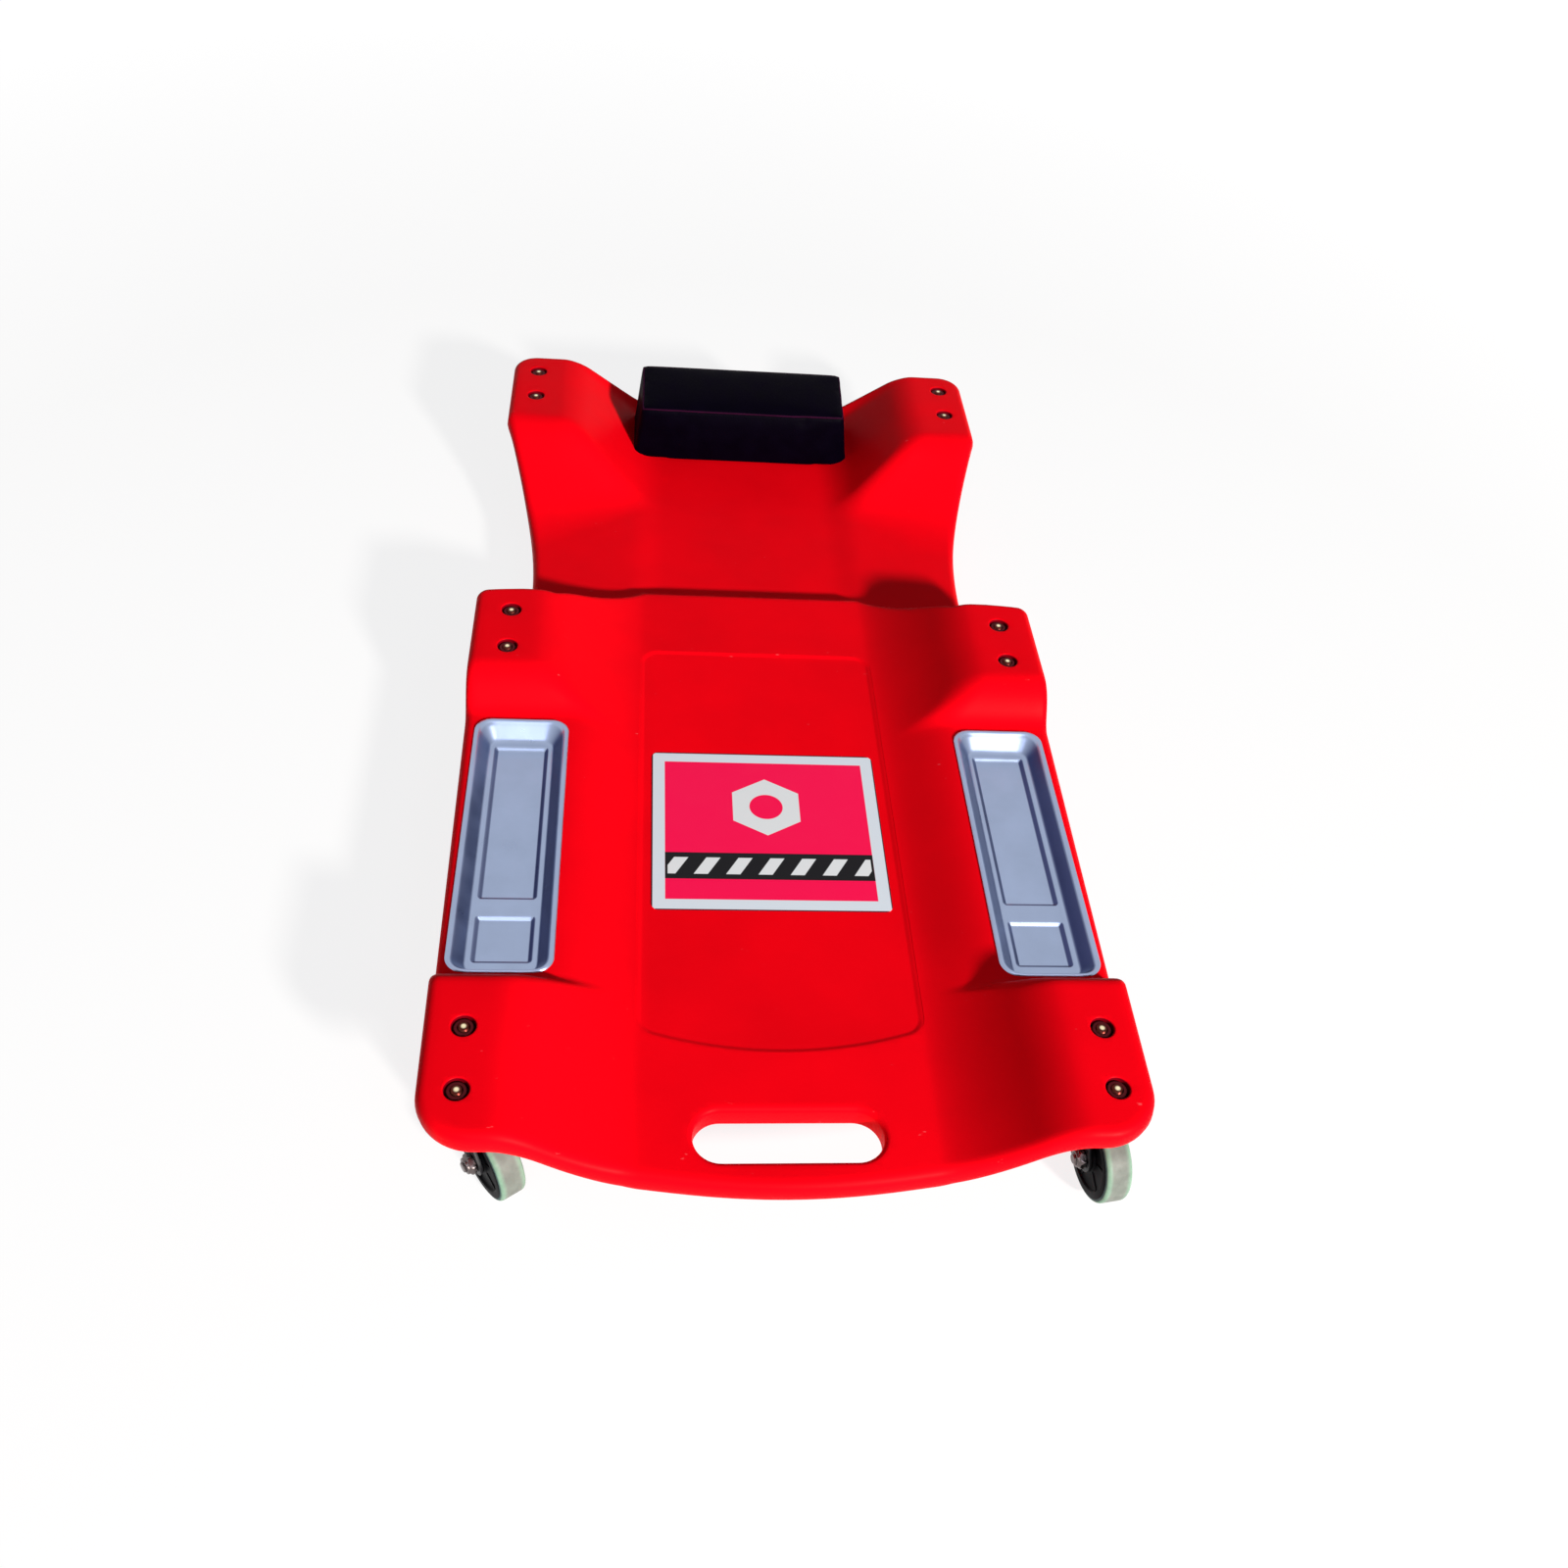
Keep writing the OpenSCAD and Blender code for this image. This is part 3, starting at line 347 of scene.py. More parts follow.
def half_width(y):
    """Half the deck's width at a station"""
    if y < Y_FOOT + FOOT_CORNER_R:
        return round_end(Y_FOOT + FOOT_CORNER_R - y, FOOT_CORNER_R, DECK_HALF)
    if y < Y_SHOULDER - SHOULDER_CORNER_R:
        share = (y - Y_FOOT - FOOT_CORNER_R) / (Y_SHOULDER_FRONT - Y_FOOT - FOOT_CORNER_R)
        return DECK_HALF + (SHOULDER_HALF - DECK_HALF) * float(clamp01(share))
    if y < SHOULDER_ARC_Y:
        return round_end(y - Y_SHOULDER + SHOULDER_CORNER_R, SHOULDER_CORNER_R, SHOULDER_HALF)
    if y < FILLET_START_Y:
        return SHOULDER_ARC_X - (y - SHOULDER_ARC_Y) / math.tan(SHOULDER_SLANT)
    if y < FILLET_Y:
        return FILLET_X - math.sqrt(max(0.0, NECK_FILLET_R ** 2 - (FILLET_Y - y) ** 2))
    if y < Y_SHOULDER + NECK_STRAIGHT:
        return NECK_HALF
    if y < Y_EAR + EDGE_R:
        run = (y - Y_SHOULDER - NECK_STRAIGHT) / (Y_EAR + EDGE_R - Y_SHOULDER - NECK_STRAIGHT)
        return NECK_HALF + (DECK_HALF - NECK_HALF) * run ** 2
    if y < Y_HEAD - EAR_CORNER_R:
        return DECK_HALF
    return round_end(y - Y_HEAD + EAR_CORNER_R, EAR_CORNER_R, DECK_HALF)


def bed_drop(x, y):
    """How far the body of the deck lies below its raised pads"""
    share = np.maximum(0, np.abs(x) - BED_HALF) / (DISH_HALF - BED_HALF)
    flank = -BED_DROP + BED_DROP * share ** FLANK_POWER
    shoulder = -LEDGE_DROP * (Y_SHOULDER_FRONT - y) / SHOULDER_SLOPE
    foot = -LEDGE_DROP * (y - Y_FOOT_END) / FOOT_SLOPE
    ledge = soft_max(-LEDGE_DROP, np.maximum(shoulder, foot), LEDGE_FOLD)
    return soft_min(flank, soft_min(0, ledge, PAD_FOLD), FLANK_FOLD)


def head_drop(x, y):
    """How far the neck and head lie below the raised pads"""
    inner = HEAD_INNER_RISE * (np.abs(x) - HEAD_DISH_HALF)
    outward = clamp01((np.abs(x) - BED_HALF) / (DECK_HALF - BED_HALF))
    t = (Y_EAR - y) / (HEAD_SLOPE_IN + (HEAD_SLOPE_OUT - HEAD_SLOPE_IN) * outward)
    front = -NECK_DROP * np.where(t < 0, t * HEAD_SLOPE_POWER, 1 - np.maximum(0, 1 - t) ** HEAD_SLOPE_POWER)
    pad = soft_min(inner, soft_min(front, 0, HEAD_FOLD), HEAD_FOLD)
    curl = CURL_H * clamp01((HEAD_DISH_HALF - np.abs(x)) / (HEAD_DISH_HALF - BED_HALF))
    curl = curl * (np.maximum(0, y - Y_HEAD + CURL_LEN) / CURL_LEN) ** 2
    return soft_max(-NECK_DROP, pad, HOLLOW) + curl


def deck_z(x, y):
    """Height of the deck's upper side before its edges are rounded"""
    edge = Y_SHOULDER + RUN_ON * clamp01((DISH_HALF - np.abs(x)) / (DISH_HALF - BED_HALF))
    fall = -NECK_DROP * (y - edge) / NECK_SLOPE
    return PAD_TOP + soft_max(bed_drop(x, y) + soft_min(0, fall, CREST), head_drop(x, y), HOLLOW)


def stations():
    """Rows across the deck, close together where the outline or the surface turns"""
    quarter = np.linspace(0, math.pi / 2, 15)
    ends = (Y_FOOT + FOOT_CORNER_R, Y_FOOT_END - 6, Y_FOOT_END + 18, Y_SHOULDER_FRONT - 28,
            Y_SHOULDER_FRONT + 6, Y_SHOULDER - 18, Y_SHOULDER + 18, Y_SHOULDER + 100, Y_EAR,
            Y_HEAD - EAR_CORNER_R)
    steps = (3.7, 2.0, 6.5, 2.2, 4.4, 0.75, 3.2, 3.5, 3.8)
    rows = [Y_FOOT + FOOT_CORNER_R * (1 - np.cos(quarter[:-1]))]
    rows += [np.linspace(start, end, round((end - start) / step) + 1)[:-1]
             for start, end, step in zip(ends, ends[1:], steps)]
    rows.append(Y_HEAD - EAR_CORNER_R * (1 - np.cos(quarter[::-1])))
    return np.unique(np.round(np.concatenate(rows), 4))


def deck_plan():
    """Plan of the deck's mesh: x and y of each row and column"""
    rows = stations()
    bed = np.linspace(0, 94, 18)
    flank = np.linspace(94, 189, 33)[1:]
    quarter = np.linspace(0, math.pi / 2, 7)
    plan = []
    for v in rows:
        w = half_width(v)
        rim = w - EDGE_R * (1 - np.cos(quarter[::-1]))
        rest = np.linspace(flank[-1], rim[0], 10)[1:-1]
        half = np.concatenate([bed, flank, rest, rim])
        x = np.concatenate([-half[:0:-1], half])
        bow = FRONT_BOW * np.maximum(0, 1 - np.minimum(1, np.abs(x) / BOW_HALF) ** 2) ** BOW_POWER
        plan.append(np.stack([x, v - bow * clamp01((Y_FOOT + BOW_FADE - v) / BOW_FADE)], axis=1))
    return np.array(plan)


def rim_distance(plan):
    """Distance from each point of the plan to the deck's outline"""
    middle = plan.shape[1] // 2
    outline = np.concatenate([plan[0, middle:], plan[1:, -1], plan[-1, middle:-1][::-1]])
    a, b = outline[:-1], outline[1:]
    ab = b - a
    length = (ab ** 2).sum(1)
    result = np.empty(plan.shape[:2])
    for j, row in enumerate(plan):
        p = np.abs(row * (1, 0)) + row * (0, 1)
        t = np.clip(((p[:, None] - a) * ab).sum(2) / length, 0, 1)
        result[j] = np.sqrt(((p[:, None] - a - t[..., None] * ab) ** 2).sum(2)).min(1)
    return result


def slot_outline():
    half, r = (SLOT_LEN - SLOT_W) / 2, SLOT_W / 2
    return np.concatenate([arc(half, SLOT_Y, r, -90, 90, 25), arc(-half, SLOT_Y, r, 90, 270, 25)])


def panel_outline():
    """The panel's edge: a bowed foot side, straight flanks and four rounded corners"""
    inner = PANEL_HALF - PANEL_R
    lean = math.degrees(math.atan(2 * PANEL_SAG * inner / PANEL_HALF ** 2))
    foot_x = inner + PANEL_R * math.sin(math.radians(lean))
    x = np.linspace(-foot_x, foot_x, 41)
    foot = np.stack([x, PANEL_Y - PANEL_SAG * (1 - (x / PANEL_HALF) ** 2)], axis=1)
    foot_y = foot[-1, 1] + PANEL_R * math.cos(math.radians(lean))
    return np.concatenate([foot, arc(inner, foot_y, PANEL_R, lean - 90, 0, 9)[1:],
                           arc(inner, PANEL_END - PANEL_R, PANEL_R, 0, 90, 9),
                           arc(-inner, PANEL_END - PANEL_R, PANEL_R, 90, 180, 9),
                           arc(-inner, foot_y, PANEL_R, 180, 270 - lean, 9)[:-1]])


def tray_centre(side):
    low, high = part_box(side + "_tool_tray")
    return (low.x + high.x) / 2 / MM, (low.y + high.y) / 2 / MM


def bolt_places():
    """Where the plate bolts stand: two for each caster, ahead of its swivel axis and behind it"""
    return [(joint["pos_m"][0] / MM, joint["pos_m"][1] / MM + side * BOLT_SPACING / 2)
            for joint in frame["joints"] if joint["name"].endswith("_swivel") for side in (-1, 1)]


# What a user would change
def colour_setting(name, description, code):
    return bpy.props.FloatVectorProperty(name=name, description=description, subtype="COLOR", size=4, min=0,
                                         max=1, default=linear(code))


def number_setting(name, description, low, high, default, **kind):
    return bpy.props.FloatProperty(name=name, description=description, min=low, max=high, default=default,
                                   **kind)


def length_setting(name, description, low, high, default):
    return number_setting(name, description, low, high, default, unit="LENGTH")


class CreeperDeck(bpy.types.PropertyGroup):
    colour: colour_setting("Plastic colour", "Colour of the deck's polyethylene", "#f60213")
    gloss: number_setting("Roughness", "Roughness of the moulded surface", 0.1, 0.8, 0.41, subtype="FACTOR")
    slot_rim: length_setting("Slot rim radius", "Radius of the grip slot's rims", 0.001, 0.006, 0.0042)
    cup_rim: length_setting("Cup rim radius", "Radius of the rims of the bolt cups", 0.0005, 0.003, 0.0014)
    parting: length_setting("Parting line", "How far the mould's parting line stands proud", 0, 0.001, 0.0005)


class CreeperTrays(bpy.types.PropertyGroup):
    colour: colour_setting("Sheet colour", "Colour of the pressed tin plate", "#9caac7")
    sheet: length_setting("Sheet thickness", "Thickness of the pressed sheet", 0.0006, 0.0014, 0.001)


class CreeperHeadrest(bpy.types.PropertyGroup):
    colour: colour_setting("Vinyl colour", "Colour of the headrest's cover", "#030109")
    # The piping is a lighter purple than the vinyl: a painted sheen along the welt
    welt_sheen: colour_setting("Piping colour", "Colour of the welt round the cover's top", "#2c0a24")
    pressure: number_setting("Stuffing pressure", "How hard the foam fills its cover", 0, 10, 2.5)
    swell: length_setting("Largest swell", "How far the cover may bulge from its cut shape", 0, 0.01, 0.002)


class CreeperLabel(bpy.types.PropertyGroup):
    field: colour_setting("Field colour", "Colour of the label's field", "#ff1052")
    border: colour_setting("Border colour", "Colour of the label's border", "#dbe6ef")


class CreeperCasters(bpy.types.PropertyGroup):
    tread: colour_setting("Tread colour", "Colour of the polyurethane tread", "#757b73")
    tread_edge: colour_setting("Tread edge colour", "Colour of the thin edges of the tread", "#82a88f")
    thread_pitch: length_setting("Thread pitch", "Pitch of the bolts' threads", 0.0008, 0.002, 0.00125)


class CreeperStage(bpy.types.PropertyGroup):
    key_power: number_setting("Key light", "Power of the key light", 0, 2000, 545, unit="POWER")
    fill_power: number_setting("Fill light", "Power of the fill light", 0, 1000, 9, unit="POWER")
    sky: number_setting("Surround", "Strength of the light from all round", 0, 2, 0.13)


# Materials
CLOUD_LOW, CLOUD_HIGH = 0.3, 0.7


def surfaced(material, base, cloud, tone, rough, reliefs, inputs, tone_low=CLOUD_LOW):
    """Ends a material with its shader. A cloudy noise shifts the tone and the roughness, each from one value
    to another. Each relief is a height, a strength and a depth in millimetres."""
    node = partial(add_node, material.node_tree)
    tone, rough = [node("MapRange", {"Value": cloud, "From Min": low, "From Max": CLOUD_HIGH,
                                     "To Min": first, "To Max": last})
                   for low, (first, last) in ((tone_low, tone), (CLOUD_LOW, rough))]
    shade = node("HueSaturation", {"Color": base, "Value": tone})
    inputs = {"Base Color": shade, "Roughness": rough, **inputs}
    normal = {}
    for height, strength, depth in reliefs:
        relief = {"Height": height, "Strength": strength, "Distance": depth * MM, **normal}
        normal = {"Normal": node("Bump", relief)}
    shader = node("BsdfPrincipled", {**inputs, **normal})
    node("OutputMaterial", {"Surface": shader})
    return material


def moulded_polyethylene(props):
    """Blow-moulded polyethylene: a waxy satin skin with a faint orange peel and a few pale scuffs"""
    material, node, place = new_material("moulded_polyethylene")
    # Orange peel of about 2.5 mm, with a finer grain of 0.7 mm from the blasted mould
    peel = node("TexNoise", {"Vector": place, "Scale": 400.0, "Detail": 2.0})
    grain = node("TexNoise", {"Vector": place, "Scale": 1500.0, "Detail": 1.0})
    # Cloudy changes of about 80 mm where the wall cooled unevenly
    cloud = node("TexNoise", {"Vector": place, "Scale": 12.0, "Detail": 3.0})
    # Scuffs: pale marks 11 mm long and 5 mm wide, and few of them
    stretch = node("Mapping", {"Vector": place, "Scale": (90.0, 210.0, 90.0), "Rotation": (0.0, 0.0, 0.5)})
    spots = node("TexNoise", {"Vector": stretch, "Scale": 1.0, "Detail": 4.0})
    scuff = node("MapRange", {"Value": spots, "From Min": 0.735, "From Max": 0.8, "To Min": 0.0,
                              "To Max": 0.28})
    scuffed = node("Mix", {0: scuff, 6: props.colour, 7: linear("#ff8f95")}, out=2, data_type="RGBA")
    # Painted shade: the walls and floors of the bolt cups are painted a darker red, as the shade that falls
    # in them
    cups = node("Attribute", out="Fac", attribute_name="painted_cup_shade")
    colour = node("Mix", {0: cups, 6: scuffed, 7: linear("#720311")}, out=2, data_type="RGBA")
    return surfaced(material, colour, cloud, (0.93, 1.04), (props.gloss - 0.04, props.gloss + 0.05),
                    ((peel, 0.1, 0.6), (grain, 0.12, 0.2)), {"IOR": 1.52, "Specular IOR Level": 0.022})


def tin_plate(props):
    """Pressed tin plate: a bright, slightly blue metal with soft reflections and faint drawing marks"""
    material, node, place = new_material("tin_plate")
    # Drawing marks along the tray, about 0.7 mm apart, and stains of about 30 mm
    marks = node("Mapping", {"Vector": place, "Scale": (1400.0, 18.0, 200.0)})
    lines = node("TexNoise", {"Vector": marks, "Scale": 1.0, "Detail": 2.0})
    stain = node("TexNoise", {"Vector": place, "Scale": 35.0, "Detail": 3.0})
    # Painted dark reflection: where its attribute says so the sheet is painted a darker blue, in place of
    # dark surroundings reflected in the walls
    dark_reflection = node("Attribute", out="Fac", attribute_name="painted_reflection_share")
    painted_dark_tone = node("Mix", {0: dark_reflection, 6: props.colour, 7: linear("#434970")}, out=2, data_type="RGBA")
    return surfaced(material, painted_dark_tone, stain, (0.92, 1.02), (0.27, 0.38), ((lines, 0.05, 0.2),),
                    {"Metallic": 1.0})


def coated_vinyl(name, colour):
    """Vinyl-coated cloth: near black, with an embossed leather grain and a soft gloss on its edges"""
    material, node, place = new_material(name)
    # Pebbled grain of about 1.1 mm, raised between its creases, and waves of about 17 mm
    pebble = node("TexVoronoi", {"Vector": place, "Scale": 900.0}, feature="SMOOTH_F1")
    raised = node("Math", {0: pebble, 1: -1.0}, operation="MULTIPLY")
    wave = node("TexNoise", {"Vector": place, "Scale": 60.0, "Detail": 4.0})
    return surfaced(material, colour, wave, (0.8, 1.25), (0.42, 0.55),
                    ((raised, 0.25, 0.4), (wave, 0.2, 1.0)), {"IOR": 1.5, "Specular IOR Level": 0.015})


def printed_film(props):
    """Printed vinyl film: flat inks under a clear skin. A pale border, a crimson field and plain bands"""
    edge_soft, dirty_edge, border, bar_inset = 0.15 * MM, 0.9 * MM, 10.5 * MM, 12.5 * MM
    band_y, band_half, bar_half = -40 * MM, 13.5 * MM, 8.5 * MM
    bar_width, bar_step, bar_lean = 5.5 * MM, 12.5 * MM, -0.6
    nut_y, nut_half, hole_r = 24 * MM, 27 * MM, 13.5 * MM
    pale = linear("#e4e9eb")
    low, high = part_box("label")
    centre, half = (low + high) / 2, (high - low) / 2
    material, node, place = new_material("printed_film")
    local = node("VectorMath", {0: place, 1: centre}, operation="SUBTRACT")
    x, y = [node("SeparateXYZ", {0: local}, out=axis) for axis in ("X", "Y")]

    def printed(under, ink, *limits):
        """Lays an ink over another, where each value lies within a reach of its middle, with a soft edge"""
        share = 1.0
        for value, middle, reach in limits:
            away = node("Math", {0: value, 1: middle}, operation="SUBTRACT")
            size = node("Math", {0: away}, operation="ABSOLUTE")
            inside = node("MapRange", {"Value": size, "From Min": reach - edge_soft,
                                       "From Max": reach + edge_soft, "To Min": 1.0, "To Max": 0.0})
            share = node("Math", {0: share, 1: inside}, operation="MULTIPLY")
        return node("Mix", {0: share, 6: under, 7: ink}, out=2, data_type="RGBA")

    field = (x, 0.0, half.x - border), (y, 0.0, half.y - border)
    colour = printed(props.border, props.field, *field)
    # The cut edge of the film has taken dirt
    colour = printed(linear("#4a1a26"), colour, (x, 0.0, half.x - dirty_edge), (y, 0.0, half.y - dirty_edge))
    # A black band low on the field with a row of pale slanted bars
    colour = printed(colour, linear("#0c0b10"), *field, (y, band_y, band_half))
    slant = node("Math", {0: y, 1: bar_lean, 2: x}, operation="MULTIPLY_ADD")
    phase = node("Math", {0: slant, 1: bar_step}, operation="PINGPONG")
    colour = printed(colour, pale, (phase, 0.0, bar_width), (y, band_y, bar_half),
                     (x, 0.0, half.x - bar_inset))
    # A pale hexagonal nut above it, with a round hole
    nut = node("VectorMath", {0: local, 1: (0.0, nut_y, 0.0)}, operation="SUBTRACT")
    widest = 0.0
    for turn in (0.0, math.pi / 3, -math.pi / 3):
        across = node("VectorMath", {0: nut, 1: (math.cos(turn), math.sin(turn), 0.0)}, out="Value",
                      operation="DOT_PRODUCT")
        size = node("Math", {0: across}, operation="ABSOLUTE")
        widest = node("Math", {0: widest, 1: size}, operation="MAXIMUM")
    colour = printed(colour, pale, (widest, 0.0, nut_half))
    radius = node("VectorMath", {0: nut}, out="Value", operation="LENGTH")
    colour = printed(colour, props.field, (radius, 0.0, hole_r))
    # Wiped marks of about 20 mm in the gloss
    wipe = node("TexNoise", {"Vector": place, "Scale": 50.0, "Detail": 3.0})
    return surfaced(material, colour, wipe, (1.0, 1.0), (0.32, 0.42), ((wipe, 0.05, 0.5),),
                    {"IOR": 1.46, "Specular IOR Level": 0.15})


def plated_steel(name, base, rough, glint=None):
    """Plated steel: a thin coat with cloudy gloss, and a painted highlight in a brighter tone where its
    attribute says so
    """
    material, node, place = new_material(name)
    # Clouds of about 4 mm
    cloud = node("TexNoise", {"Vector": place, "Scale": 260.0, "Detail": 3.0})
    # Painted highlight: where the attribute says so the colour turns to the bright one
    end = node("Attribute", out="Fac", attribute_name="glint_share")
    coat = node("Mix", {0: end, 6: linear(base), 7: linear(glint or base)}, out=2, data_type="RGBA")
    return surfaced(material, coat, cloud, (0.8, 1.05), rough, ((cloud, 0.1, 0.2),), {"Metallic": 1.0})


def painted_or_moulded(name, base, rough, grain_mm, strength, gloss):
    """A painted steel or a moulded plastic: one tone with small changes of gloss and a fine grain"""
    material, node, place = new_material(name)
    grain = node("TexNoise", {"Vector": place, "Scale": 1.0 / (grain_mm * MM), "Detail": 2.0})
    # Clouds of about 22 mm
    cloud = node("TexNoise", {"Vector": place, "Scale": 45.0, "Detail": 3.0})
    return surfaced(material, linear(base), cloud, (0.85, 1.2), rough, ((grain, strength, 0.3),),
                    {"IOR": 1.5, "Specular IOR Level": gloss})


def cast_polyurethane(props):
    """Cast polyurethane tread: milky grey, and mint green where it is thin at its edges"""
    material, node, place = new_material("cast_polyurethane")
    # Dirt in spots of about 6 mm
    dirt = node("TexNoise", {"Vector": place, "Scale": 160.0, "Detail": 4.0})
    edge = node("Attribute", out="Fac", attribute_name="edge_share")
    colour = props.tread
    # First the green band at each edge, then the flanks, painted dark as shade
    layers = (0.5, 0.86, 0.85, props.tread_edge), (0.93, 0.985, 0.95, linear("#2b4a4c"))
    for start, end, most, ink in layers:
        share = node("MapRange", {"Value": edge, "From Min": start, "From Max": end, "To Min": 0.0,
                                  "To Max": most})
        colour = node("Mix", {0: share, 6: colour, 7: ink}, out=2, data_type="RGBA")
    return surfaced(material, colour, dirt, (1.04, 0.82), (0.52, 0.66), ((dirt, 0.15, 0.4),),
                    {"IOR": 1.5, "Specular IOR Level": 0.3, "Subsurface Weight": 0.25,
                     "Subsurface Scale": 4 * MM, "Subsurface Radius": (0.8, 1.0, 0.8)}, tone_low=0.35)


def plywood():
    """Plain plywood: pale brown with a grain along the board, about 3 mm wide and 80 mm long"""
    material, node, place = new_material("plywood")
    along = node("Mapping", {"Vector": place, "Scale": (12.0, 320.0, 320.0)})
    grain = node("TexNoise", {"Vector": along, "Scale": 1.0, "Detail": 4.0})
    colour = node("Mix", {0: grain, 6: linear("#c39a68"), 7: linear("#94683c")}, out=2, data_type="RGBA")
    return surfaced(material, colour, grain, (1.0, 1.0), (0.7, 0.7), (), {})


# Operators, one for each piece or group of like pieces
class CREEPER_OT_deck(bpy.types.Operator):
    """Moulds the double-wall deck with its slot, panel, cups and tray pockets"""
    bl_idname = "creeper.deck"
    bl_label = "Deck"

    pocket_half, pocket_r, pocket_shift, pocket_depth, pocket_rim = (34.6, 127.0), 10.5, -1.2, 15.5, 0.8
    screw_hole_r, screw_x, screw_y = 3.3, 44.8, Y_HEAD - 57.5
    bolt_hole_r = 4.3
    # The panel's gentle step: how deep it lies and how far out, from its floor to above the bed
    panel_step = ((1.2, 0.0), (1.08, 0.8), (0.75, 1.8), (0.35, 2.8), (0.08, 3.8), (-0.1, 4.8), (-60, 4.8))

    def execute(self, context):
        props = context.scene.creeper_deck
        plan = deck_plan()
        rows, columns = plan.shape[:2]
        fall = EDGE_R - np.sqrt(EDGE_R ** 2 - (EDGE_R - np.minimum(rim_distance(plan), EDGE_R)) ** 2)
        top = deck_z(plan[..., 0], plan[..., 1])
        deck = grid(columns, rows)
        bpy.ops.object.mode_set(mode="EDIT")
        bpy.ops.mesh.select_all(action="SELECT")
        for _ in range(2):
            bpy.ops.mesh.extrude_region_move(TRANSFORM_OT_translate={"value": (0, 0, -1)})
        bpy.ops.object.mode_set(mode="OBJECT")
        i, j, layer = grid_places(deck, columns, rows)
        # The parting line runs round the middle of the side and stands a little proud
        proud = (layer == 1) * props.parting / MM
        x, y = (plan[j, i] + self.rim_normals(plan)[j, i] * proud[:, None]).T
        top, fall = top[j, i], fall[j, i]
        z = np.choose(layer, [top - fall, top - DECK_T / 2, top - DECK_T + fall])
        set_points(deck, np.stack([x, y, z], axis=1))
        clean_mesh(deck, 0.000001)
        cutters = [cutter(slot_outline(), 0, BED_Z, props.slot_rim / MM, under=BED_Z - DECK_T),
                   stacked("cutter", panel_outline(), [(BED_Z - deep, out) for deep, out in self.panel_step])]
        for side in ("left", "right"):
            x, y = tray_centre(side)
            pocket = rounded_rectangle(*self.pocket_half, self.pocket_r, (x, y + self.pocket_shift))
            cutters.append(cutter(pocket, LEDGE_Z - self.pocket_depth, LEDGE_Z, self.pocket_rim))
        cutters += [self.cup_cutter(place, props.cup_rim / MM) for place in bolt_places()]
        hole = [(self.screw_hole_r, VALLEY_Z - 2 * DECK_T), (self.screw_hole_r, VALLEY_Z + DECK_T)]
        cutters += [turned("cutter", hole, count=24, centre=(x, self.screw_y))
                    for x in (-self.screw_x, self.screw_x)]
        tool = join("deck_cutters", cutters)
        apply_modifier(deck, "BOOLEAN", operation="DIFFERENCE", solver="MANIFOLD", object=tool)
        drop(tool)
        named(deck, "deck_moulding")
        self.paint_cup_shade(deck, props.cup_rim / MM)
        dress(deck, moulded_polyethylene(props), DECK_BODY, ["deck"], angle=38)
        return {"FINISHED"}

    def rim_normals(self, plan):
        """Outward directions at the plan's outer points, and none elsewhere"""
        rows, columns = plan.shape[:2]
        loop = [(0, i) for i in range(columns)] + [(j, columns - 1) for j in range(1, rows)]
        loop += [(rows - 1, i) for i in range(columns - 2, -1, -1)] + [(j, 0) for j in range(rows - 2, 0, -1)]
        j, i = np.array(loop).T
        result = np.zeros(plan.shape)
        result[j, i] = outset(plan[j, i], 1.0) - plan[j, i]
        return result

    def paint_cup_shade(self, deck, rim):
        """Notes how deep each point lies in a bolt cup, for the painted shade there"""
        co = points(deck)
        away = np.min([np.hypot(co[:, 0] - x, co[:, 1] - y) for x, y in bolt_places()], axis=0)
        note_share(deck, "painted_cup_shade", clamp01((PAD_TOP - 0.15 - co[:, 2]) / 0.8) * (away < CUP_R + 1.5 * rim))

    def cup_cutter(self, place, rim):
        """A round cup for nut and washer, with the bolt's hole under it"""
        hole_r = self.bolt_hole_r
        profile = [(hole_r, PAD_TOP - DECK_T - 5), (hole_r, CUP_FLOOR), (CUP_R, CUP_FLOOR)]
        profile += [(CUP_R + rim * (1 - math.cos(a)), PAD_TOP - rim + rim * math.sin(a)) for a in RIM_ANGLES]
        profile += [(CUP_R + 1.45 * rim, PAD_TOP + 0.1 * rim), (CUP_R + 1.45 * rim, PAD_TOP + 10)]
        return turned("cutter", profile, centre=place)


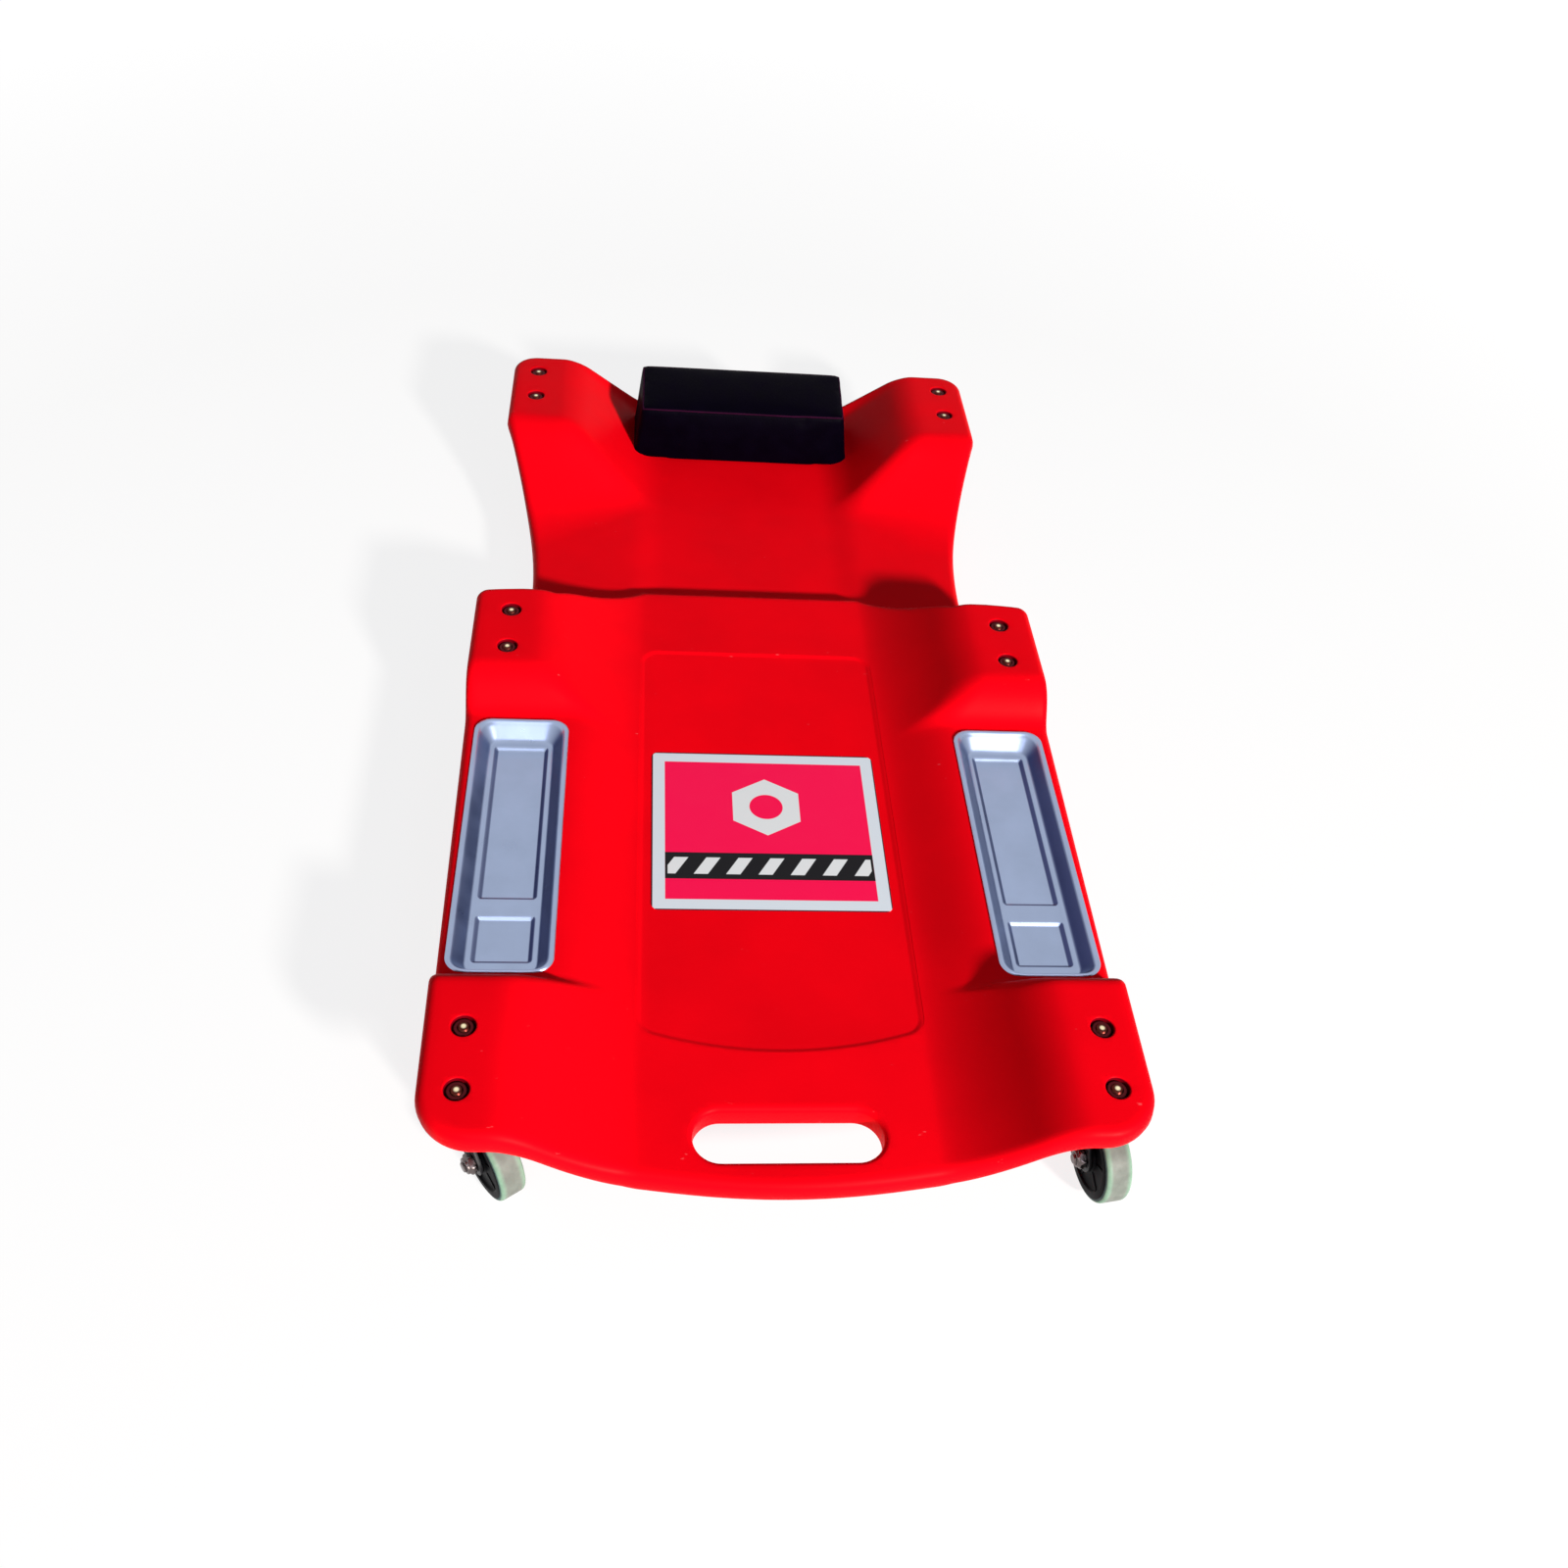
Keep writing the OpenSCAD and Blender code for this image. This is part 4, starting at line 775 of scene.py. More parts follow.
class CREEPER_OT_trays(bpy.types.Operator):
    """Presses the two tool trays from sheet, each with a long and a short well in its floor"""
    bl_idname = "creeper.trays"
    bl_label = "Tool trays"

    def execute(self, context):
        props = context.scene.creeper_trays
        material = tin_plate(props)
        for side in ("left", "right"):
            tray = self.press(side, props.sheet / MM)
            dress(tray, material, DECK_BODY, [side + "_tool_tray"], angle=50)
        return {"FINISHED"}

    def press(self, side, sheet):
        """One tray in its place: a grid bent to the pressed form, then thickened"""
        half_x, half_y, corner, depth = 38.0, 129.5, 14.0, 12.0
        floor_x, floor_corner, floor_foot, floor_head = 25.0, 10.0, -121.5, 113.5
        # How far each wall leans outwards: least at the foot end and most at the head end
        wall_side, wall_foot, wall_head = 9.0, 6.0, 12.0
        # The two wells: middle along the tray and half length
        wells = ((27.75, 80.75), (-90.5, 21.5))
        well_x, well_slope, well_depth = 21.5, 3.2, 2.8
        rim_crown, rim_crown_w, rim_turn, rim_turn_w = 0.9, 5.0, 0.6, 1.2
        columns = np.concatenate([np.linspace(*span) for span in
                                  ((0, 16, 6), (16.8, 22.6, 14), (23.4, 33.4, 14), (34, half_x, 9))])
        columns = np.concatenate([-columns[:0:-1], columns])
        rows = [np.arange(-half_y, half_y, 4.0), np.arange(-half_y, -113, 0.7), np.arange(104, half_y, 0.8)]
        rows += [middle + sign * (reach - np.linspace(-0.8, well_slope + 1, 11))
                 for middle, reach in wells for sign in (-1, 1)]
        rows = np.unique(np.round(np.concatenate(rows), 2))
        rows = rows[np.append(True, np.diff(rows) > 0.3)]
        rows = np.append(rows[rows < half_y - 0.4], half_y)
        past = np.maximum(0, np.abs(rows) - (half_y - corner))[:, None]
        x = columns[None, :] * (half_x - corner + np.sqrt(np.maximum(0, corner ** 2 - past ** 2))) / half_x
        y = np.repeat(rows[:, None], len(columns), axis=1)

        def profile(u):
            return soft_min(soft_max(u, 0.0, 0.2), 1.0, 0.2)

        ahead = y - np.clip(y, floor_foot + floor_corner, floor_head - floor_corner)
        aside = np.maximum(np.abs(x) - floor_x + floor_corner, 0)
        cubes = aside ** 3 + np.abs(ahead) ** 3
        side_share = aside ** 3 / np.maximum(cubes, 1e-6)
        run = np.where(ahead < 0, wall_foot, wall_head)
        u = (np.cbrt(cubes) - floor_corner) / (run + (wall_side - run) * side_share)
        # Painted dark reflection: the long walls are painted darker, the one at +X most, in place of dark
        # surroundings reflected in them
        dark_reflection = clamp01(u / 0.12) * clamp01((1 - u) / 0.12) * side_share * np.where(x > 0, 1.0, 0.55)
        z = -depth + depth * profile(u)
        for middle, reach in wells:
            over_x, over_y = np.abs(x) - well_x, np.abs(y - middle) - reach
            over = np.hypot(*[np.maximum(over + well_slope, 0) for over in (over_x, over_y)]) / well_slope
            z = z - well_depth * (1 - profile(over))
            # Of a well's slopes, those at the sides and at the foot get the painted dark reflection too
            slope = clamp01(over / 0.15) * clamp01((1.15 - over) / 0.15)
            dark_reflection = dark_reflection + slope * np.where(over_x > over_y, np.where(x > 0, 1.0, 0.7), y < middle)
        gap = np.where(past > 0, corner - np.hypot(np.maximum(0, np.abs(x) - half_x + corner), past),
                       half_x - np.abs(x))
        gap = np.maximum(np.minimum(gap, half_y - np.abs(y)), 0)
        # The rim is rolled: it crowns and turns down at its outer edge
        z = z + sheet + rim_crown * np.sin(math.pi * clamp01(gap / rim_crown_w))
        z = z - rim_turn * (1 - clamp01(gap / rim_turn_w)) ** 2
        tray = grid(len(columns), len(rows))
        i, j, _ = grid_places(tray, len(columns), len(rows))
        set_points(tray, np.stack([x[j, i], y[j, i], z[j, i]], axis=1) + (*tray_centre(side), LEDGE_Z))
        note_share(tray, "painted_reflection_share", clamp01(dark_reflection[j, i]))
        apply_modifier(tray, "SOLIDIFY", thickness=sheet * MM, offset=-1, use_even_offset=True)
        return named(tray, side + "_tray_pressing")


class CREEPER_OT_headrest(bpy.types.Operator):
    """Upholsters the headrest block: foam swells a vinyl cover, and welted seams run round its panels"""
    bl_idname = "creeper.headrest"
    bl_label = "Headrest"

    half_w, half_d, height, taper = 118.5, 40.5, 65.0, 8.5
    y_middle = Y_HEAD - 61.5
    foot_bulge, bulge_fade, crown, back_rise, top_rise = 4.4, 0.34, 3.0, 5.5, 2
    edge_slack, cover_inset = 3, 2.0
    welt_r, welt_sink, welt_inset = 0.9, 0.1, 1.0

    def pad_form(self, u, v, w, inset):
        """A point of the pad: u, v and w run from -1 to 1 across, along and up"""
        up = (w + 1) / 2
        full = 1 - np.abs(u) ** 4
        slack = self.edge_slack * (1 - full * (1 - w ** 2))
        x = u * (self.half_w - inset - self.taper * up - slack)
        y = v * (self.half_d - inset) - np.sign(v) * slack * np.abs(v) ** 4
        # The foot of the front stands forward, but for its ends
        y = y - self.foot_bulge * clamp01(-v) * (1 - up) ** 2 * clamp01((1 - np.abs(u)) / self.bulge_fade)
        crown = np.where(w > 0, self.crown * full * (1 - v ** 2) * w ** 2, 0)
        z = inset + up * (self.height - 2 * inset) + crown + up * (self.top_rise + self.back_rise * v)
        return np.stack([x, y + self.y_middle, z + VALLEY_Z], axis=1)

    def execute(self, context):
        props = context.scene.creeper_headrest
        bpy.ops.object.select_all(action="DESELECT")
        bpy.ops.mesh.primitive_cube_add(size=2)
        pad = context.view_layer.objects.active
        bpy.ops.object.mode_set(mode="EDIT")
        bpy.ops.mesh.select_all(action="SELECT")
        bpy.ops.mesh.subdivide(number_cuts=23)
        bpy.ops.object.mode_set(mode="OBJECT")
        set_points(pad, self.pad_form(*(points(pad) * MM).T, self.cover_inset))
        apply_modifier(pad, "BEVEL", width=0.005, segments=3, limit_method="ANGLE",
                       angle_limit=math.radians(50))
        apply_modifier(pad, "REMESH", mode="VOXEL", voxel_size=0.0035)
        rest = points(pad)
        self.swell(pad, props.pressure)
        step = points(pad) - rest
        limit = props.swell / MM
        step *= (limit / (np.linalg.norm(step, axis=1) + limit))[:, None]
        set_points(pad, self.seated(rest + step))
        apply_modifier(pad, "SUBSURF", levels=1, render_levels=1)
        set_points(pad, self.seated(points(pad)))
        named(pad, "headrest_cover")
        vinyl = coated_vinyl("coated_vinyl", props.colour)
        dress(pad, vinyl, DECK_BODY, ["headrest_pad"], angle=60)
        # The welt's lighter purple is a painted sheen
        self.welt(pad, coated_vinyl("coated_vinyl_welt_sheen", props.welt_sheen))
        return {"FINISHED"}

    def seated(self, co):
        """Keeps the pad's underside on the deck"""
        ground = deck_z(co[:, 0], co[:, 1]) + 0.3
        low = co[:, 2] < ground
        return np.column_stack([co[:, :2], np.where(low, ground, co[:, 2])])

    def swell(self, pad, pressure):
        last_frame = 20
        select_only(pad)
        cloth = pad.modifiers.new("Cloth", "CLOTH")
        cloth.settings.quality = 5
        cloth.settings.mass = 0.3
        cloth.settings.tension_stiffness = 40
        cloth.settings.compression_stiffness = 40
        cloth.settings.bending_stiffness = 6
        cloth.settings.use_pressure = True
        cloth.settings.uniform_pressure_force = pressure
        cloth.settings.effector_weights.gravity = 0
        cloth.point_cache.frame_start = 1
        cloth.point_cache.frame_end = last_frame
        for step in range(1, last_frame + 1):
            bpy.context.scene.frame_set(step)
        bpy.ops.object.modifier_apply(modifier=cloth.name)
        bpy.context.scene.frame_set(1)

    def welt(self, pad, vinyl):
        """The seam: a thin welt round the top, where its panel meets those of the sides"""
        surface = pad.evaluated_get(bpy.context.evaluated_depsgraph_get())
        line = np.linspace(-1, 1, 41)[:-1]
        end = np.ones_like(line)
        u, v = np.concatenate([(line, -end), (end, line), (-line, end), (-end, -line)], axis=1)
        places = self.pad_form(u, v, np.ones_like(u), self.welt_inset)
        curve = bpy.data.curves.new("headrest_welt", "CURVE")
        curve.dimensions = "3D"
        curve.bevel_depth = self.welt_r * MM
        curve.bevel_resolution = 3
        spline = curve.splines.new("POLY")
        spline.points.add(len(places) - 1)
        spline.use_cyclic_u = True
        for point, where in zip(spline.points, places):
            _, near, normal, _ = surface.closest_point_on_mesh(Vector(where * MM))
            point.co = (*(near - normal * self.welt_sink * MM), 1)
        obj = bpy.data.objects.new("headrest_welt", curve)
        bpy.context.scene.collection.objects.link(obj)
        select_only(obj)
        bpy.ops.object.convert(target="MESH")
        dress(join("headrest_welt", [obj]), vinyl, DECK_BODY, [], angle=60)


class CREEPER_OT_label(bpy.types.Operator):
    """Prints the label on the centre panel, and finishes the CAD pieces that stay"""
    bl_idname = "creeper.label"
    bl_label = "Label and plain pieces"

    def execute(self, context):
        film = printed_film(context.scene.creeper_label)
        zinc = plated_steel("zinc_plate", "#a9acb3", (0.28, 0.45))
        # The plate washers lie in the bolt cups: their dark red-brown colour is painted shade with a red cast
        # from the cup
        shaded_washer = plated_steel("washer_steel_painted_shade", "#561a1f", (0.5, 0.65))
        ball = plated_steel("bearing_steel", "#c9ccd2", (0.12, 0.22))
        finishes = {"label": film, "headrest_board": plywood(), "headrest_screws": zinc,
                    "headrest_washers": zinc, "plate_washers": shaded_washer, "swivel_kingpins": zinc,
                    "swivel_balls": ball, **{corner + "_sleeve": zinc for corner in CORNERS}}
        for name, material in finishes.items():
            node = frame["nodes"][name]
            node.data.materials.clear()
            node.data.materials.append(material)
        return {"FINISHED"}


class CREEPER_OT_fasteners(bpy.types.Operator):
    """Makes the threaded plate bolts and their nuts in the cups"""
    bl_idname = "creeper.fasteners"
    bl_label = "Bolts and nuts"

    def execute(self, context):
        pitch = context.scene.creeper_casters.thread_pitch / MM
        # The bolts and nuts stand in the bolt cups: their dark red-brown colours are painted shade with a red
        # cast from the cup
        yellow = plated_steel("yellow_zinc_painted_shade_and_highlight", "#54241e", (0.26, 0.4), glint="#fff0c6")
        brown = plated_steel("nut_steel_painted_shade", "#541a1f", (0.42, 0.58))
        for source, name, node, finish in ((self.bolt(pitch), "plate_bolts_threaded", "plate_bolts", yellow),
                                           (self.nut(), "plate_nuts_chamfered", "plate_nuts", brown)):
            copies = [copied(source, name, Matrix.Translation((x * MM, y * MM, 0))) for x, y in bolt_places()]
            dress(join(name, copies), finish, DECK_BODY, [node], angle=30)
            drop(source)
        return {"FINISHED"}

    def bolt(self, pitch):
        """Hex head below and a threaded end in the cup, with a painted highlight noted on its tip"""
        low, high = (c.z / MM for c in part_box("plate_bolts"))
        head, thread = 5.28, 9.0
        # The pale spot at the middle of the tip is a painted highlight
        tip, glint_fade = 1.9, 0.9
        rings = hex_rings(HEX_FLATS, ((0.96, low), (1.04, low + 0.5), (2, low + 1.2), (2, low + head)))
        rings += [circle(BOLT_R, low + head), circle(BOLT_R, high - thread)]
        rings += [circle(thread_radius(z, pitch), z) for z in np.arange(high - thread + 0.2, high - 0.7, 0.2)]
        rings.append(circle(np.minimum(thread_radius(high - 0.6, pitch), 3.7), high - 0.6))
        rings += [circle(r, high - below) for r, below in ((3.2, 0.15), (2.7, 0.1), (2.2, 0.05), (1.0, 0.0))]
        bolt = lofted("plate_bolt", rings)
        x, y, z = points(bolt).T
        note_share(bolt, "glint_share", clamp01((tip - np.hypot(x, y)) / glint_fade) * (z > high - 0.5))
        return bolt

    def nut(self):
        """A nut with both faces chamfered and its bore eased"""
        low, high = (c.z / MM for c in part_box("plate_nuts"))
        bore, ease = BOLT_R + 0.02, 0.4
        rings = [circle(bore, low + 0.5), circle(bore + ease, low)]
        rings += hex_rings(HEX_FLATS, ((0.96, low), (1.05, low + 0.45), (2, low + 1.1), (2, high - 1.1),
                                       (1.05, high - 0.45), (0.96, high)))
        rings += [circle(bore + ease, high), circle(bore, high - 0.5), circle(bore, low + 0.5)]
        return lofted("plate_nut", rings, closed=True)


def thread_radius(z, pitch):
    """Radius of a right-hand thread at a height, for each point of a ring"""
    count, depth = 48, 0.62
    phase = (z / pitch - np.arange(count) / count) % 1
    return BOLT_R - depth * np.abs(2 * phase - 1)


class CREEPER_OT_casters(bpy.types.Operator):
    """Builds the six swivel casters: plate, fork, axle bolt and nut, wheel core and tread"""
    bl_idname = "creeper.casters"
    bl_label = "Casters"

    def execute(self, context):
        props = context.scene.creeper_casters
        pitch = props.thread_pitch / MM
        zinc = plated_steel("bright_zinc", "#b4b7bd", (0.24, 0.42))
        black = plated_steel("blacked_steel", "#6e6463", (0.2, 0.32))
        paint = painted_or_moulded("black_enamel", "#100f12", (0.34, 0.48), 0.8, 0.1, 0.3)
        resin = painted_or_moulded("moulded_nylon", "#060609", (0.42, 0.56), 0.6, 0.12, 0.05)
        made = {"plate": (self.plate(), zinc, "bare_steel"), "fork": (self.fork(), paint, "black_steel"),
                "axle_bolt": (self.axle_bolt(pitch), black, "bare_steel"),
                "axle_nut": (self.axle_nut(), black, "bare_steel"),
                "wheel": (self.core(), resin, "black_plastic"),
                "tread": (self.tread(), cast_polyurethane(props), "grey_rubber")}
        joints = {joint["name"]: joint for joint in frame["joints"]}
        for corner in CORNERS:
            swivel, roll = joints[corner + "_swivel"], joints[corner + "_roll"]
            # How far the caster is turned, from the direction of its axle
            yaw = Matrix.Rotation(math.atan2(roll["axis"][1], roll["axis"][0]), 4, "Z")
            stand = Matrix.Translation((*swivel["pos_m"][:2], 0))
            axle = Matrix.Translation(roll["pos_m"]) @ yaw @ Matrix.Rotation(math.radians(90), 4, "Y")
            matrices = {"plate": stand, "fork": stand @ yaw}
            wheel_body = corner + "_wheel_body"
            bodies = {"plate": DECK_BODY, "wheel": wheel_body, "tread": wheel_body}
            for key, (source, material, slot) in made.items():
                piece = copied(source, corner + "_" + key + "_made", matrices.get(key, axle))
                body = bodies.get(key, corner + "_swivel_body")
                dress(piece, material, body, [corner + "_" + key], angle=34)
        drop(*[shape[0] for shape in made.values()])
        return {"FINISHED"}

    def plate(self):
        """The top plate with rounded corners, and the pressed race under it"""
        levels = [(82.5, -0.5), (83.0, 0.0), (84.5, 0.0), (85.0, -0.5)]
        plate = stacked("plate", rounded_rectangle(22.0, 36.0, 15.4), levels)
        race = turned("race", [(5.1, 82.6), (5.1, 80.4), (8.6, 79.3), *arc(12.7, 82.0, 2.7, -90, 0),
                               (15.5, 82.8), (5.1, 82.8), (5.1, 82.6)], closed=True)
        return join("caster_plate", [plate, race])

    def fork(self):
        """The yoke: one pressed sheet bent down into two legs that trail to the axle, with the lower race"""
        half_x, thick, top, bend = 11.7, 2.2, 76.4, 3.2
        boss_y, boss_z, boss_r, crown_half = -31.0, AXLE_Z, 10.0, 13.0

        def tangent(corner_y, side):
            """Where the leg's straight edge meets the round boss"""
            dy, dz = corner_y - boss_y, top - boss_z
            away = math.hypot(dy, dz)
            angle = math.atan2(dz, dy) + side * math.acos(boss_r / away)
            return boss_y + boss_r * math.cos(angle), boss_z + boss_r * math.sin(angle)

        rear, front = tangent(-crown_half, 1), tangent(crown_half, -1)

        def extent(z):
            ends = []
            for sign, (ty, tz), corner in ((-1, rear, -crown_half), (1, front, crown_half)):
                if z <= tz:
                    ends.append(boss_y + sign * math.sqrt(max(0.0, boss_r ** 2 - (z - boss_z) ** 2)))
                else:
                    ends.append(ty + (corner - ty) * (z - tz) / (top - tz))
            return ends

        round_share = np.cos(np.linspace(0, math.pi / 2, 9) * 0.97 + 0.045)
        heights = [*(boss_z - boss_r * round_share), *np.linspace(boss_z + 4, top - bend, 15)]
        path = [(half_x, z, *extent(z)) for z in heights]
        path += [(x, z, *extent(z)) for x, z in arc(half_x - bend, top - bend, bend, 18, 90)]
        path += [(x, top, -crown_half, crown_half) for x in (5.5, 2.5)]
        path = np.array(path + [(-x, z, a, b) for x, z, a, b in path[::-1]])
        across = 15
        sheet = grid(across, len(path))
        i, j, _ = grid_places(sheet, across, len(path))
        x, z, start, end = path[j].T
        y = start + (end - start) * i / (across - 1)
        # A rib is pressed outwards along the middle of each leg
        middle = -23 + 15 * clamp01((z - 44) / 24)
        rib = clamp01(1.25 - np.hypot((y - middle) / 4.5, np.maximum(0, np.abs(z - 56) - 9) / 5))
        x = x + np.sign(x) * 0.9 * rib * rib * (3 - 2 * rib)
        set_points(sheet, np.stack([x, y, z], axis=1))
        clean_mesh(sheet)
        apply_modifier(sheet, "SOLIDIFY", thickness=thick * MM, offset=0)
        apply_modifier(sheet, "BEVEL", width=0.0004, segments=2, limit_method="ANGLE",
                       angle_limit=math.radians(50))
        profile = [(5.05, 75.4), (14.9, 75.4), (15.5, 76.0), *arc(14.5, 77.8, 1.0, 0, 90), (9.2, 78.8),
                   (8.6, 78.2), (5.05, 78.2), (5.05, 75.4)]
        return join("fork", [sheet, turned("fork_race", profile, closed=True)])

    def axle_bolt(self, pitch):
        """Hex head at one end and a threaded tip at the other; Z is along the axle"""
        face, tip = 12.8, -20.7
        rings = [circle(3.2, tip), circle(3.7, tip + 0.5)]
        rings += [circle(thread_radius(z, pitch), z) for z in np.arange(tip + 0.7, tip + 3.9, 0.2)]
        rings += [circle(BOLT_R, tip + 4.3), circle(BOLT_R, face + 0.05)]
        rings += hex_rings(HEX_FLATS, ((2, face + 0.05), (2, face + 4.1), (1.04, face + 4.8),
                                       (0.96, face + 5.28)))
        rings += [circle(3.0, face + 5.28), circle(2.6, face + 5.1)]
        return lofted("axle_bolt", rings)

    def axle_nut(self):
        """A locking nut: hex below, with a rounded collar at its outer end"""
        low, bore, collar = -19.2, BOLT_R + 0.02, 0.82 * HEX_FLATS / 2
        rings = [circle(bore, low + 0.5), circle(bore + 0.5, low), *hex_rings(HEX_FLATS, ((0.78, low),))]
        rings += [circle(collar + 0.6 * math.sin(a), low + 0.9 - 0.9 * math.cos(a))
                  for a in np.radians([35, 65, 90])]
        rings += hex_rings(HEX_FLATS, ((0.94, low + 1.7), (1.05, low + 2.1), (2, low + 2.8), (2, low + 5.4),
                                       (1.05, low + 6.0), (0.96, low + 6.4)))
        rings += [circle(bore + 0.4, low + 6.4), circle(bore, low + 5.9), circle(bore, low + 0.5)]
        return lofted("axle_nut", rings, closed=True)

    def core(self):
        """The moulded wheel core: hub, shallow dished face with ribs, and a rim that laps the tread"""
        bore, hub, rim_in, rim, lap = 5.55, 10.0, 23.5, 25.75, 28.7
        rib_middle, rib_size = 16.4, (13.8, 2.2, 17.2)
        profile = [(bore, -9.6), (bore + 0.4, -10), (hub - 0.6, -10), (hub, -9.5), (hub + 0.6, -8.3),
                   (hub + 2.2, -7.9), (rim_in - 2.2, -7.9), (rim_in - 0.6, -8.3), (rim_in, -9.3),
                   (rim_in + 0.5, -9.7), (lap - 0.3, -9.7), (lap, -9.5), (lap, -9.3), (rim, -9.3)]
        other = [(r, -z) for r, z in profile[::-1]]
        pieces = [turned("wheel_core", profile + other + [profile[0]], closed=True, count=72)]
        for turn in range(6):
            bpy.ops.object.select_all(action="DESELECT")
            bpy.ops.mesh.primitive_cube_add(size=1)
            rib = bpy.context.view_layer.objects.active
            rib.data.transform(Matrix.Rotation(turn * math.pi / 3, 4, "Z")
                               @ Matrix.Translation((rib_middle * MM, 0, 0))
                               @ Matrix.Diagonal((*(size * MM for size in rib_size), 1)))
            apply_modifier(rib, "BEVEL", width=0.0004, segments=2)
            pieces.append(rib)
        return join("wheel_core", pieces)

    def tread(self):
        """The soft tyre; each point holds how near it is to the tyre's edges"""
        inner, outer, half, r = 25.75, 31.75, 9.4, 3.0
        profile = [(inner, -half), *arc(outer - r, r - half, r, -90, 0, 8), (outer, -2.0), (outer, 0.0),
                   (outer, 2.0), *arc(outer - r, half - r, r, 0, 90, 8), (inner, half), (inner, 0.0),
                   (inner, -half)]
        tyre = turned("tread", profile, closed=True, count=96)
        note_share(tyre, "edge_share", np.abs(points(tyre)[:, 2]) / half)
        return tyre


